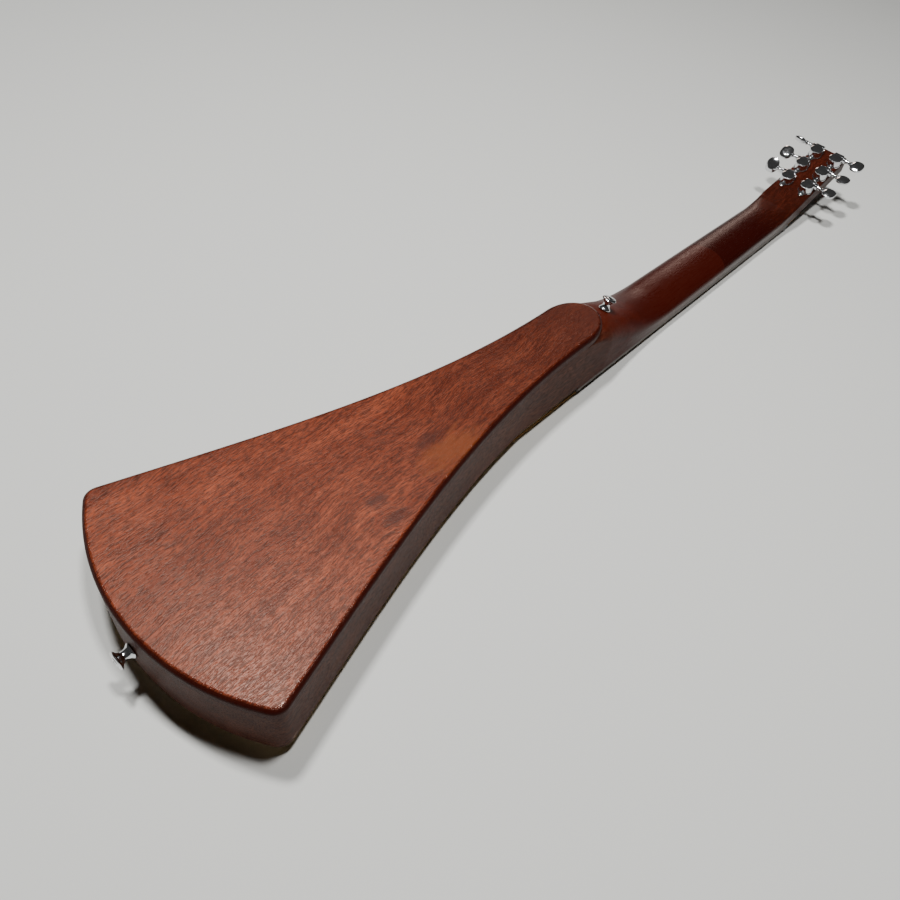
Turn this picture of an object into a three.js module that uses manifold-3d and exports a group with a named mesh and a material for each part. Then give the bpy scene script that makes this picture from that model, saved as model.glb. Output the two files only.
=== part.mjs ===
// A travel guitar with a carved body and neck, lying face down on its strings.
// X runs from the tail to the head, Y to the treble side and Z out of the back.
// Z = 0 is the plane that the strings touch. Lengths are millimetres, angles degrees.
import * as THREE from 'three';
import { mergeVertices } from 'three/addons/utils/BufferGeometryUtils.js';
import Module from 'manifold-3d';

const wasm = await Module();
wasm.setup();

// Gaps between pieces, and the overrun of every cut
const glueGap = 0.1;
const fitGap = 0.3;
const overrun = 1;
const leastMitreShare = 0.5;
const mergeDistance = 0.0001;

// Strings, scale and frets
const scaleLength = 609.6;
const saddleFromTail = 125.1;
const stringDiameters = [0.3, 0.41, 0.61, 0.81, 1.07, 1.35];
const stringSpreadAtNut = 35.8;
const stringSpreadAtSaddle = 53;
const ballEndRadius = 2;
const fretCount = 15;
const fretWidth = 2.2;
const fretHeight = 1;
const fretInset = 0.4;
const actionAtNut = 0.6;
const actionAtBody = 2.6;

// Body
const bodyDepth = 48;
const stringsToSoundboard = 11;
const tailHalfWidth = 93;
const tailRadius = 160.3;
const tailCornerRadius = 9.7;
const flareDegrees = 17.1;
const waistHalfWidth = 22.9;
const tongueLength = 35.4;
const tongueRoundLength = 31.4;
const rimWall = 6.5;
const tailBlockLength = 16;
const tailBlockHalfWidth = 32;
const heelBlockLength = 42;
const soundboardThickness = 3;
const soundholeRadius = 21;
const soundholeFromFront = 127;
const backEdgeThickness = 8;
const backSkin = 4;
const backEdgeRadius = 4;
const backTrayInset = 8;

// Braces and bridge plate, inside the body
const braceWidth = 8;
const braceHeight = 11;
const braceEndHeight = 3;
const braceEndLength = 22;
const frontBraceFromSaddle = 62;
const rearBraceFromSaddle = 72;
const bridgePlateThickness = 2.5;
const bridgePlateLength = 40;
const bridgePlateWidth = 88;

// Bridge, saddle and pins
const bridgeLength = 34;
const bridgeWidth = 100;
const bridgeThickness = 7.5;
const bridgeCornerRadius = 8;
const bridgeEdgeRadius = 2.5;
const bridgeFrontOverhang = 11;
const saddleThickness = 2.6;
const saddleWidth = 72;
const saddleSlotDepth = 4;
const pinRowFromSaddle = 14;
const pinRadius = 2.6;
const pinTipRadius = 2.2;
const pinLength = 17;
const pinHeadRadius = 3.8;
const pinHeadHeight = 2.6;
const pinHeadLip = 0.9;
const rampDepth = 3.6;
const rampLength = 8;

// Neck, heel and fingerboard
const neckHalfWidthAtNut = 20;
const neckHalfWidthAtTwelfth = 25;
const neckFaceStep = 2.4;
const neckRidgeAtNut = 14.6;
const neckRidgeAtHeel = 14.6;
const neckSideAtNut = 6;
const neckSideAtHeel = 5;
const heelLength = 135;
const heelNarrowShare = 0.25;
const flankLength = 77;
const boardPastLastFret = 4.4;
const nutThickness = 5.4;
const nutStandOff = 0.2;
const scarfFromNut = 137;
const scarfLean = 0.9;
const barWidth = 6;
const barDepth = 9;
const barEndFromNut = 14;
const barEndFromBody = 10;

// Headstock
const headTilt = 11.5;
const headLength = 110;
const headThickness = 15;
const headHalfWidthAtNut = 20.4;
const headHalfWidthAtEnd = 17.8;
const headCornerRadius = 3;
const headEdgeRadius = 2.4;
const headBlendLength = 25;
const nutSideShare = 0.5;
const nutBoxyShare = 0.72;

// Tuners
const firstPostFromHead = 36.1;
const postPitch = 27.5;
const postRowFromCentre = 11.2;
const postRadius = 3;
const postWaistRadius = 2.5;
const postHeight = 13.5;
const postWaistStart = 2.2;
const postHoleHeight = 10.6;
const postTipHeight = 2.4;
const postTipBevel = 0.8;
const postWaistBevel = 0.6;
const windingStart = 3;
const windingTurns = 3;
const windingClearance = 0.45;
const stubLength = 1.6;
const bushingWall = 0.8;
const bushingDepth = 10;
const bushingFlangeRadius = 4.9;
const bushingFlangeThickness = 1.2;
const wheelTeeth = 14;
const wheelRadius = 4.6;
const wheelThickness = 3;
const wormRadius = 2.3;
const toothReach = 0.6;
const toothRoot = 0.85;
const toothThickness = 0.8;
const toothTipThickness = 0.4;
const wheelRootShare = 0.62;
const wormRootShare = 0.385;
const wormTurns = 3;
const shaftHeight = 4.4;
const caseWall = 0.9;
const caseFloorThickness = 1.2;
const caseLugRadius = 2.7;
const caseLugReach = 8.5;
const caseCapRadius = 6.7;
const caseCapLip = 1.1;
const caseCapDome = 0.9;
const caseNoseReach = 8.6;
const caseNoseRadius = 3.1;
const collarRadius = 2.1;
const collarReach = 15.2;
const buttonShaftRadius = 1.47;
const buttonReach = 22.3;
const buttonLength = 13.4;
const buttonHeight = 15.4;
const buttonThickness = 5;
const buttonRimThickness = 2;
const buttonFaceShare = 0.7;
const screwHeadRadius = 1.8;
const screwHeadHeight = 1.1;
const screwHeadLip = 0.37;
const screwShankRadius = 0.9;
const screwLength = 8;

// Strap buttons
const strapHeadRadius = 6;
const strapNeckRadius = 3.2;
const strapBaseRadius = 4.8;
const strapHeight = 10.5;
const strapFlangeThickness = 1.8;
const strapWaistShares = [0.38, 0.62];
const strapScrewRadius = 1.7;
const strapScrewHeadRadius = 3.2;
const strapScrewLength = 20;
const strapScrewDome = 0.7;
const strapSinkDepth = 1.5;
const strapSinkRadius = 3.5;
const heelStrapFromTongue = 19;

// How finely round forms are faceted
const fine = 14;
const medium = 10;
const coarse = 8;
const stringSides = 6;
const windingSteps = 12;
const tailSteps = 8;
const cornerSteps = 4;
const flareSteps = 12;
const tongueSteps = 8;
const ridgeSteps = 10;
const edgeSteps = 3;
const crestSteps = 4;
const domeSteps = 2;
const capSteps = 3;
const bridgeCornerSteps = 4;
const headEdgeSteps = 3;

// Heights worked out from the sizes above
const soundboardFace = stringsToSoundboard;
const rimFace = soundboardFace + soundboardThickness + glueGap;
const backTop = soundboardFace + bodyDepth;
const backSeat = backTop - backEdgeThickness;
const rimTop = backSeat - glueGap;
const neckFace = soundboardFace - neckFaceStep;
const bridgeFace = soundboardFace - glueGap - bridgeThickness;

// Places along the guitar
const nutX = saddleFromTail + scaleLength;
const fretX = (fret) => nutX - scaleLength * (1 - 2 ** (-fret / 12));
const frontX = fretX(fretCount) - boardPastLastFret;
const tongueEnd = frontX + tongueLength;
const heelEnd = frontX + heelLength;
const headStart = nutX + glueGap + nutThickness + glueGap;
const scarfX = nutX - scarfFromNut;
const pinRowX = saddleFromTail - pinRowFromSaddle;
const cavityFront = frontX - heelBlockLength;

const radians = THREE.MathUtils.degToRad;
const lerp = THREE.MathUtils.lerp;
const between = (a, b, value) => (value - a) / (b - a);

// Solids and geometries

// Turns a three.js geometry into a manifold solid, facing outwards.
function solid(geometry) {
  const bare = new THREE.BufferGeometry();
  bare.setAttribute('position', geometry.getAttribute('position').clone());
  if (geometry.index) bare.setIndex(geometry.index.clone());
  const merged = mergeVertices(bare, mergeDistance);
  const triVerts = new Uint32Array(merged.index.array);
  const vertProperties = new Float32Array(merged.getAttribute('position').array);
  const made = new wasm.Manifold(new wasm.Mesh({ numProp: 3, vertProperties, triVerts }));
  if (made.volume() > 0) return made;
  for (let i = 0; i < triVerts.length; i += 3) {
    const second = triVerts[i + 1];
    triVerts[i + 1] = triVerts[i + 2];
    triVerts[i + 2] = second;
  }
  return new wasm.Manifold(new wasm.Mesh({ numProp: 3, vertProperties, triVerts }));
}

// Turns a manifold solid back into a three.js geometry.
function geometryOf(made) {
  const mesh = made.getMesh();
  const geometry = new THREE.BufferGeometry();
  geometry.setAttribute('position', new THREE.BufferAttribute(mesh.vertProperties, mesh.numProp));
  geometry.setIndex(new THREE.BufferAttribute(mesh.triVerts, 1));
  return geometry;
}

const join = (...solids) => solids.reduce((whole, piece) => whole.add(piece));
const cut = (body, ...tools) => tools.reduce((rest, tool) => rest.subtract(tool), body);

// Skins a row of rings that have the same number of points, and closes both ends.
function loft(rings) {
  const count = rings[0].length;
  const positions = rings.flat().flatMap((point) => [point.x, point.y, point.z]);
  const index = [];
  for (let k = 1; k < rings.length; k += 1) {
    for (let i = 0; i < count; i += 1) {
      const next = (i + 1) % count;
      const low = (k - 1) * count;
      const high = k * count;
      index.push(low + i, low + next, high + next, low + i, high + next, high + i);
    }
  }
  const last = (rings.length - 1) * count;
  for (const [a, b, c] of capOf(rings[0])) index.push(a, c, b);
  for (const [a, b, c] of capOf(rings[rings.length - 1])) index.push(last + a, last + b, last + c);
  const geometry = new THREE.BufferGeometry();
  geometry.setAttribute('position', new THREE.Float32BufferAttribute(positions, 3));
  geometry.setIndex(index);
  return geometry;
}

// Triangles that close one ring, turned the way that the ring runs.
function capOf(ring) {
  const normal = new THREE.Vector3();
  ring.forEach((point, i) => normal.add(new THREE.Vector3().crossVectors(point, ring[(i + 1) % ring.length])));
  const across = Math.abs(normal.x) > Math.abs(normal.z) ? new THREE.Vector3(0, 1, 0) : new THREE.Vector3(1, 0, 0);
  const right = across.sub(normal.clone().normalize().multiplyScalar(across.dot(normal) / normal.length())).normalize();
  const up = new THREE.Vector3().crossVectors(normal, right).normalize();
  const flat = ring.map((point) => new THREE.Vector2(point.dot(right), point.dot(up)));
  return THREE.ShapeUtils.triangulateShape(flat, []);
}

// Stacks flat outlines at rising heights into one solid.
const stack = (levels) => solid(loft(levels.map(({ outline, z }) =>
  outline.map((point) => new THREE.Vector3(point.x, point.y, z)))));

// A straight-sided plate from a flat outline.
const plate = (outline, bottom, top) => stack([{ outline, z: bottom }, { outline, z: top }]);

// A box between two corners.
function box(low, high) {
  const size = new THREE.Vector3().subVectors(high, low);
  const middle = new THREE.Vector3().addVectors(low, high).multiplyScalar(0.5);
  return solid(new THREE.BoxGeometry(size.x, size.y, size.z).translate(middle.x, middle.y, middle.z));
}

const at = (x, y, z) => new THREE.Vector3(x, y, z);

// A turned solid: its profile lists [radius, height], from the axis to the axis, about Z.
function turned(profile, segments) {
  const points = profile.map(([radius, height]) => new THREE.Vector2(radius, height));
  return solid(new THREE.LatheGeometry(points, segments).rotateX(Math.PI / 2));
}

// A round bar along Z between two heights.
const bar = (radius, bottom, top, segments) =>
  turned([[0, bottom], [radius, bottom], [radius, top], [0, top]], segments);

// A quarter round between two points of a turned profile, bulging along the first point's radius.
const quarter = (start, end, steps) => Array.from({ length: steps + 1 }, (unused, step) => {
  const angle = (step / steps) * Math.PI / 2;
  return [
    lerp(end[0], start[0], Math.cos(angle)),
    lerp(start[1], end[1], Math.sin(angle)),
  ];
});

// Moves every point of a closed outline inwards by a distance. The outline runs anticlockwise.
function inset(outline, distance) {
  return outline.map((point, i) => {
    const before = outline[(i + outline.length - 1) % outline.length];
    const after = outline[(i + 1) % outline.length];
    const first = new THREE.Vector2().subVectors(point, before).normalize();
    const second = new THREE.Vector2().subVectors(after, point).normalize();
    const normal = new THREE.Vector2(-first.y - second.y, first.x + second.x).normalize();
    const spread = Math.max(normal.dot(new THREE.Vector2(-first.y, first.x)), leastMitreShare);
    return point.clone().addScaledVector(normal, distance / spread);
  });
}

// Levels of a plate whose upper edge is rounded over.
function roundedLevels(outline, bottom, top, radius, steps) {
  const levels = [{ outline, z: bottom }];
  for (let step = 0; step <= steps; step += 1) {
    const angle = (step / steps) * Math.PI / 2;
    levels.push({
      outline: inset(outline, radius * (1 - Math.cos(angle))),
      z: top - radius + radius * Math.sin(angle),
    });
  }
  return levels;
}

// A tube of round sections along a row of points.
function tube(points, radius, sides) {
  let side = at(0, 1, 0);
  const rings = points.map((point, i) => {
    const before = points[Math.max(i - 1, 0)];
    const after = points[Math.min(i + 1, points.length - 1)];
    const along = new THREE.Vector3().subVectors(after, before).normalize();
    side = side.clone().addScaledVector(along, -side.dot(along)).normalize();
    const up = new THREE.Vector3().crossVectors(along, side);
    return Array.from({ length: sides }, (unused, step) => {
      const angle = (step / sides) * 2 * Math.PI;
      return point.clone()
        .addScaledVector(side, radius * Math.cos(angle))
        .addScaledVector(up, radius * Math.sin(angle));
    });
  });
  return solid(loft(rings));
}

// Outlines of the body

const flareStart = (() => {
  const centreY = tailHalfWidth - tailCornerRadius;
  const reach = tailRadius - tailCornerRadius;
  const centreX = tailRadius - Math.sqrt(reach ** 2 - centreY ** 2);
  const tangent = Math.atan2(centreY, centreX - tailRadius);
  return { centreX, centreY, tangent, flare: radians(90 - flareDegrees) };
})();
const flareFromShare = 0.341;
const flareToShare = 0.637;

// The treble half of the plan: tail arc, corner, flare and, at the front, a straight run or a tongue.
function halfPlan(end, withTongue) {
  const { centreX, centreY, tangent, flare } = flareStart;
  const cornerEnd = new THREE.Vector2(
    centreX + tailCornerRadius * Math.cos(flare),
    centreY + tailCornerRadius * Math.sin(flare),
  );
  const waistX = frontX + tongueLength - tongueRoundLength;
  const run = waistX - cornerEnd.x;
  const path = new THREE.Path();
  path.absarc(tailRadius, 0, tailRadius, Math.PI, tangent, true);
  const tail = path.getPoints(tailSteps);
  const corner = new THREE.Path().absarc(centreX, centreY, tailCornerRadius, tangent, flare, true).getPoints(cornerSteps);
  const sides = new THREE.CubicBezierCurve(
    cornerEnd,
    new THREE.Vector2(
      cornerEnd.x + run * flareFromShare,
      cornerEnd.y - run * flareFromShare * Math.tan(radians(flareDegrees)),
    ),
    new THREE.Vector2(cornerEnd.x + run * flareToShare, waistHalfWidth),
    new THREE.Vector2(waistX, waistHalfWidth),
  ).getPoints(flareSteps);
  const points = [...tail, ...corner.slice(1), ...sides.slice(1)];
  if (withTongue) {
    for (let step = 1; step <= tongueSteps; step += 1) {
      const angle = (step / tongueSteps) * Math.PI / 2;
      points.push(new THREE.Vector2(
        waistX + tongueRoundLength * Math.sin(angle),
        waistHalfWidth * Math.cos(angle),
      ));
    }
    return points;
  }
  const kept = points.filter((point) => point.x < end - fitGap);
  const reached = points[Math.min(kept.length, points.length - 1)];
  const last = kept[kept.length - 1];
  const share = between(last.x, Math.max(reached.x, end), end);
  kept.push(new THREE.Vector2(end, lerp(last.y, reached.y, share)));
  return kept;
}

// Mirrors the treble half to the bass side, and runs anticlockwise.
function wholePlan(half) {
  const bass = half.slice(1).map((point) => new THREE.Vector2(point.x, -point.y));
  const treble = half.filter((point) => point.y > glueGap).reverse();
  return [half[0], ...bass, ...treble];
}

// Half the plan's width at a place along the body.
function planHalfWidth(x) {
  const half = halfPlan(0, true);
  const widest = half.reduce((best, point, i) => (point.y > half[best].y ? i : best), 0);
  const side = half.slice(widest);
  const next = side.findIndex((point) => point.x >= x);
  if (next < 1) return x < side[0].x ? side[0].y : 0;
  const share = between(side[next - 1].x, side[next].x, x);
  return lerp(side[next - 1].y, side[next].y, share);
}

// Half the neck's width at its face, which the body's flanks follow in front of the soundhole.
function neckHalfWidth(x) {
  const share = (nutX - x) / (nutX - fretX(12));
  return lerp(neckHalfWidthAtNut, neckHalfWidthAtTwelfth, share);
}

// Pieces of the body

// The back: a plate with a rounded edge, hollowed on the inside.
function backPlate() {
  const outline = wholePlan(halfPlan(0, true));
  const tray = inset(wholePlan(halfPlan(cavityFront, false)), backTrayInset);
  return cut(
    stack(roundedLevels(outline, backSeat, backTop, backEdgeRadius, edgeSteps)),
    plate(tray, backSeat - overrun, backTop - backSkin),
  );
}

// One upright section of the heel and neck: flat face, straight sides and a rounded ridge.
// The lower and upper half widths, the face, side and ridge heights, and how boxy the ridge is.
function section(x, lower, upper, face, side, ridge, boxy, lean = 0) {
  const points = [[lower, face]];
  for (let step = 0; step <= ridgeSteps; step += 1) {
    const angle = (step / ridgeSteps) * Math.PI;
    const across = Math.sign(Math.cos(angle)) * Math.abs(Math.cos(angle)) ** boxy;
    const rise = Math.abs(Math.sin(angle)) ** boxy;
    points.push([step * 2 === ridgeSteps ? 0 : upper * across, lerp(side, ridge, rise)]);
  }
  points.push([-lower, face]);
  return points.map(([y, z]) => at(x + (z - neckFace) * lean, y, z));
}

// Where the heel falls from the back's seat to the neck, as shares of its length and of its drop.
const heelPlaceShares = [0, 0.14, 0.25, 0.36, 0.47, 0.58, 0.7, 0.84, 1];
const heelRidgeShares = [1, 1, 0.985, 0.87, 0.67, 0.44, 0.23, 0.07, 0];
const heelSideShares = [0.99, 0.86, 0.66, 0.45, 0.3, 0.18, 0.09, 0.03, 0];
const heelBoxyShares = [0.3, 0.5, 0.7, 0.85, 0.95, 1, 1, 1, 1];

// A plain section of the neck, between the heel and the nut.
function neckSection(x, lean = 0) {
  const share = between(heelEnd, nutX, x);
  const half = neckHalfWidth(x);
  const side = neckFace + lerp(neckSideAtHeel, neckSideAtNut, share);
  const ridge = neckFace + lerp(neckRidgeAtHeel, neckRidgeAtNut, share);
  return section(x, half, half, neckFace, side, ridge, 1, lean);
}

// The rim, its two blocks and the neck as far as the scarf, carved as one piece.
function rimAndNeck() {
  const rim = plate(wholePlan(halfPlan(frontX, false)), rimFace, rimTop);
  const seat = plate(wholePlan(halfPlan(0, true)), (rimFace + rimTop) / 2, rimTop);
  const flankStart = frontX - flankLength;
  const flankShares = [0, 0.25, 0.5, 0.75, 1];
  const flanks = flankShares.map((share) => {
    const x = flankStart + share * flankLength;
    const upper = planHalfWidth(x);
    return section(x, Math.max(neckHalfWidth(x), upper), upper, rimFace, rimTop, rimTop, 1);
  });
  const heel = heelPlaceShares.map((share, i) => {
    const x = frontX + share * heelLength;
    const upper = lerp(planHalfWidth(frontX), neckHalfWidth(x), Math.min(1, share / heelNarrowShare) ** 2);
    const side = lerp(neckFace + neckSideAtHeel, rimTop, heelSideShares[i]);
    const ridge = lerp(neckFace + neckRidgeAtHeel, rimTop, heelRidgeShares[i]);
    return section(x, neckHalfWidth(x), upper, neckFace, side, ridge, heelBoxyShares[i]);
  });
  heel.push(neckSection(scarfX - glueGap / 2, scarfLean));
  const cavity = inset(wholePlan(halfPlan(cavityFront, false)), rimWall);
  const hollow = plate(cavity, rimFace - overrun, rimTop + overrun);
  const block = box(
    at(rimWall / 2, -tailBlockHalfWidth, rimFace),
    at(tailBlockLength, tailBlockHalfWidth, rimTop),
  );
  const channel = box(
    at(frontX + barEndFromBody - fitGap, -barWidth / 2 - fitGap, neckFace - overrun),
    at(nutX, barWidth / 2 + fitGap, neckFace + barDepth + fitGap),
  );
  const carved = join(cut(join(rim, solid(loft(flanks))), hollow), seat.subtract(hollow), solid(loft(heel)), block);
  return cut(carved, channel, strapPilot(tailStrap), strapPilot(heelStrap));
}

// The soundboard: a thin plate with a round hole and holes for the bridge pins.
function soundboard() {
  const half = halfPlan(frontX - glueGap, false).map((point) =>
    new THREE.Vector2(point.x, point.x < frontX - flankLength ? point.y : Math.max(point.y, neckHalfWidth(point.x))));
  const top = soundboardFace + soundboardThickness;
  const hole = bar(soundholeRadius, soundboardFace - overrun, top + overrun, fine * 2)
    .translate([frontX - soundholeFromFront, 0, 0]);
  return cut(plate(wholePlan(half), soundboardFace, top), hole, ...pinHoles());
}

// A brace across the soundboard, with scalloped ends that stop at the rim.
function brace(x) {
  const half = planHalfWidth(x + braceWidth) - rimWall - fitGap;
  const foot = rimFace;
  const outline = new THREE.Shape([
    new THREE.Vector2(-half, foot),
    new THREE.Vector2(half, foot),
    new THREE.Vector2(half, foot + braceEndHeight),
    new THREE.Vector2(half - braceEndLength, foot + braceHeight),
    new THREE.Vector2(braceEndLength - half, foot + braceHeight),
    new THREE.Vector2(-half, foot + braceEndHeight),
  ]);
  const geometry = new THREE.ExtrudeGeometry(outline, { depth: braceWidth, bevelEnabled: false });
  return solid(geometry.rotateX(Math.PI / 2).rotateZ(Math.PI / 2).translate(x - braceWidth / 2, 0, 0));
}

// The hardwood plate under the bridge, inside the body.
function bridgePlate() {
  const low = at(pinRowX - bridgePlateLength / 2, -bridgePlateWidth / 2, rimFace);
  const high = at(pinRowX + bridgePlateLength / 2, bridgePlateWidth / 2, rimFace + bridgePlateThickness);
  return cut(box(low, high), ...pinHoles());
}

// A rectangle with rounded corners, anticlockwise.
function roundedRectangle(left, right, half, radius, steps) {
  const corners = [
    [right - radius, radius - half, -Math.PI / 2],
    [right - radius, half - radius, 0],
    [left + radius, half - radius, Math.PI / 2],
    [left + radius, radius - half, Math.PI],
  ];
  return corners.flatMap(([x, y, start]) => Array.from({ length: steps + 1 }, (unused, step) => {
    const angle = start + (step / steps) * Math.PI / 2;
    return new THREE.Vector2(x + radius * Math.cos(angle), y + radius * Math.sin(angle));
  }));
}

// Strings and what they pass through

// The place of each string across the guitar, from the treble side.
const stringY = (number, spread) => spread * (0.5 - (number - 1) / (stringDiameters.length - 1));
const stringRadius = (number) => stringDiameters[number - 1] / 2;
const stringNumbers = stringDiameters.map((unused, i) => i + 1);
const stringHoleX = (number) => pinRowX + pinRadius + glueGap + stringRadius(number);

// Tools that cut the bridge, soundboard and bridge plate for the pins and for the strings beside them.
function pinHoles() {
  const top = rimFace + bridgePlateThickness + overrun;
  return stringNumbers.map((number) => {
    const y = stringY(number, stringSpreadAtSaddle);
    const hole = bar(pinRadius + fitGap, bridgeFace - overrun, top, coarse).translate([pinRowX, y, 0]);
    const radius = stringRadius(number) + fitGap;
    const flute = bar(radius, bridgeFace - overrun, top, stringSides).translate([stringHoleX(number), y, 0]);
    return hole.add(flute);
  });
}

// The bridge, with the saddle's slot, the pin holes and a ramp for each string.
function bridge() {
  const left = saddleFromTail + bridgeFrontOverhang - bridgeLength;
  const outline = roundedRectangle(left, left + bridgeLength, bridgeWidth / 2, bridgeCornerRadius, bridgeCornerSteps);
  const levels = roundedLevels(outline, 0, bridgeThickness, bridgeEdgeRadius, domeSteps);
  const body = stack(levels).rotate([180, 0, 0]).translate([0, 0, soundboardFace - glueGap]);
  const slotHalf = saddleThickness / 2 + glueGap;
  const slot = box(
    at(saddleFromTail - slotHalf, -saddleWidth / 2 - fitGap, bridgeFace - overrun),
    at(saddleFromTail + slotHalf, saddleWidth / 2 + fitGap, bridgeFace + saddleSlotDepth),
  );
  const ramps = stringNumbers.map((number) => {
    const y = stringY(number, stringSpreadAtSaddle);
    const half = stringRadius(number) + fitGap;
    return box(
      at(stringHoleX(number), y - half, bridgeFace - overrun),
      at(pinRowX + rampLength, y + half, bridgeFace + rampDepth),
    );
  });
  return cut(body, slot, ...ramps, ...pinHoles());
}

// The saddle: a thin bar with a rounded crest that follows the strings' diameters.
function saddle() {
  const foot = bridgeFace + saddleSlotDepth - glueGap;
  const radius = saddleThickness / 2;
  const places = stringNumbers.map((number) =>
    [stringY(number, stringSpreadAtSaddle), stringDiameters[number - 1]]);
  places.unshift([saddleWidth / 2, stringDiameters[0]]);
  places.push([-saddleWidth / 2, stringDiameters[stringDiameters.length - 1]]);
  const rings = places.map(([y, diameter]) => {
    const arc = Array.from({ length: crestSteps + 1 }, (unused, step) => {
      const angle = Math.PI * (1 + step / crestSteps);
      const depth = radius * Math.sin(angle);
      return at(saddleFromTail + radius * Math.cos(angle), y, diameter + glueGap + radius + depth);
    });
    return [at(saddleFromTail - radius, y, foot), ...arc, at(saddleFromTail + radius, y, foot)];
  });
  return solid(loft(rings));
}

// The nut, with a slot for each string.
function nut() {
  const half = neckHalfWidthAtNut;
  const low = at(nutX + glueGap, -half, nutStandOff);
  const high = at(nutX + glueGap + nutThickness, half, neckFace - glueGap);
  const slots = stringNumbers.map((number) => {
    const reach = stringRadius(number) + fitGap / 2;
    const y = stringY(number, stringSpreadAtNut);
    const slot = box(
      at(nutX - overrun, y - reach, -overrun),
      at(headStart + overrun, y + reach, stringRadius(number)),
    );
    const round = bar(reach, nutX - overrun, headStart + overrun, coarse).rotate([0, 90, 0]);
    return slot.add(round.translate([0, y, stringRadius(number)]));
  });
  return cut(box(low, high), ...slots);
}

// A bridge pin: a tapered shank under a domed head, fluted where its string passes.
function bridgePin(number) {
  const seat = bridgeFace - glueGap;
  const profile = [
    [0, seat + pinLength],
    [pinTipRadius, seat + pinLength],
    [pinRadius, seat],
    [pinHeadRadius, seat],
    ...quarter([pinHeadRadius, seat - pinHeadLip], [0, seat - pinHeadHeight], domeSteps),
  ];
  const y = stringY(number, stringSpreadAtSaddle);
  return turned(profile.reverse(), coarse).translate([pinRowX, y, 0]);
}

// A string from its ball end under the bridge plate, over saddle and nut, to its post.
function stringPath(number) {
  const radius = stringRadius(number);
  const y = stringY(number, stringSpreadAtSaddle);
  const hole = stringHoleX(number);
  const bend = rimFace + bridgePlateThickness + fitGap + radius;
  const mouth = bridgeFace + rampDepth - glueGap - radius;
  const wound = windingOf(number);
  return [
    ballEndOf(number),
    at(hole, y, bend),
    at(hole, y, mouth),
    at(pinRowX + pinHeadRadius + fitGap + radius, y, bridgeFace),
    at(saddleFromTail - saddleThickness / 2, y, radius + glueGap),
    at(saddleFromTail + saddleThickness / 2, y, radius),
    at(nutX, stringY(number, stringSpreadAtNut), radius),
    at(headStart - glueGap, stringY(number, stringSpreadAtNut), radius),
    ...wound,
  ];
}

// The centre of a string's ball end, which rests on the bridge plate beside its pin.
const ballEndOf = (number) => at(
  pinRowX + pinRadius + fitGap + ballEndRadius,
  stringY(number, stringSpreadAtSaddle),
  rimFace + bridgePlateThickness + glueGap + ballEndRadius,
);

function string(number) {
  const ball = solid(new THREE.SphereGeometry(ballEndRadius, stringSides, crestSteps))
    .translate(ballEndOf(number).toArray());
  return tube(stringPath(number), stringRadius(number), stringSides).add(ball);
}

// Neck, fingerboard and headstock

// A place on the headstock: along it from the nut, across the guitar, and up from its face.
function onHead(along, across, up) {
  const tilt = radians(headTilt);
  return at(
    headStart + along * Math.cos(tilt) - up * Math.sin(tilt),
    across,
    neckFace + along * Math.sin(tilt) + up * Math.cos(tilt),
  );
}

const postAlong = (place) => firstPostFromHead + place * postPitch;

// The fingerboard: a wedge that keeps the strings' height, with its frets in place.
function fingerboard() {
  const end = frontX + glueGap;
  const top = neckFace - glueGap;
  const faceAt = (x) => {
    const share = between(nutX, frontX, x);
    return lerp(actionAtNut, actionAtBody, share) + fretHeight + stringDiameters[5];
  };
  const ring = (x) => {
    const half = neckHalfWidth(x);
    return [at(x, half, faceAt(x)), at(x, half, top), at(x, -half, top), at(x, -half, faceAt(x))];
  };
  const board = solid(loft([ring(end), ring(nutX)]));
  const frets = Array.from({ length: fretCount }, (unused, i) => {
    const x = fretX(i + 1);
    const half = neckHalfWidth(x) - fretInset;
    const rings = [-half, half].map((y) => Array.from({ length: crestSteps + 1 }, (none, step) => {
      const angle = (step / crestSteps) * Math.PI;
      const depth = step % crestSteps === 0 ? -fretInset : fretHeight * Math.sin(angle);
      return at(x + (fretWidth / 2) * Math.cos(angle), y, faceAt(x) - depth);
    }));
    return solid(loft(rings));
  });
  return join(board, ...frets);
}

// The bar let into the neck under the fingerboard, which stiffens it across the scarf.
function neckBar() {
  return box(
    at(frontX + barEndFromBody, -barWidth / 2, neckFace + glueGap),
    at(nutX - barEndFromNut, barWidth / 2, neckFace + barDepth),
  );
}

// Half the headstock's width at a distance from the nut.
const headHalfWidth = (along) => lerp(headHalfWidthAtNut, headHalfWidthAtEnd, along / headLength);

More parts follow.
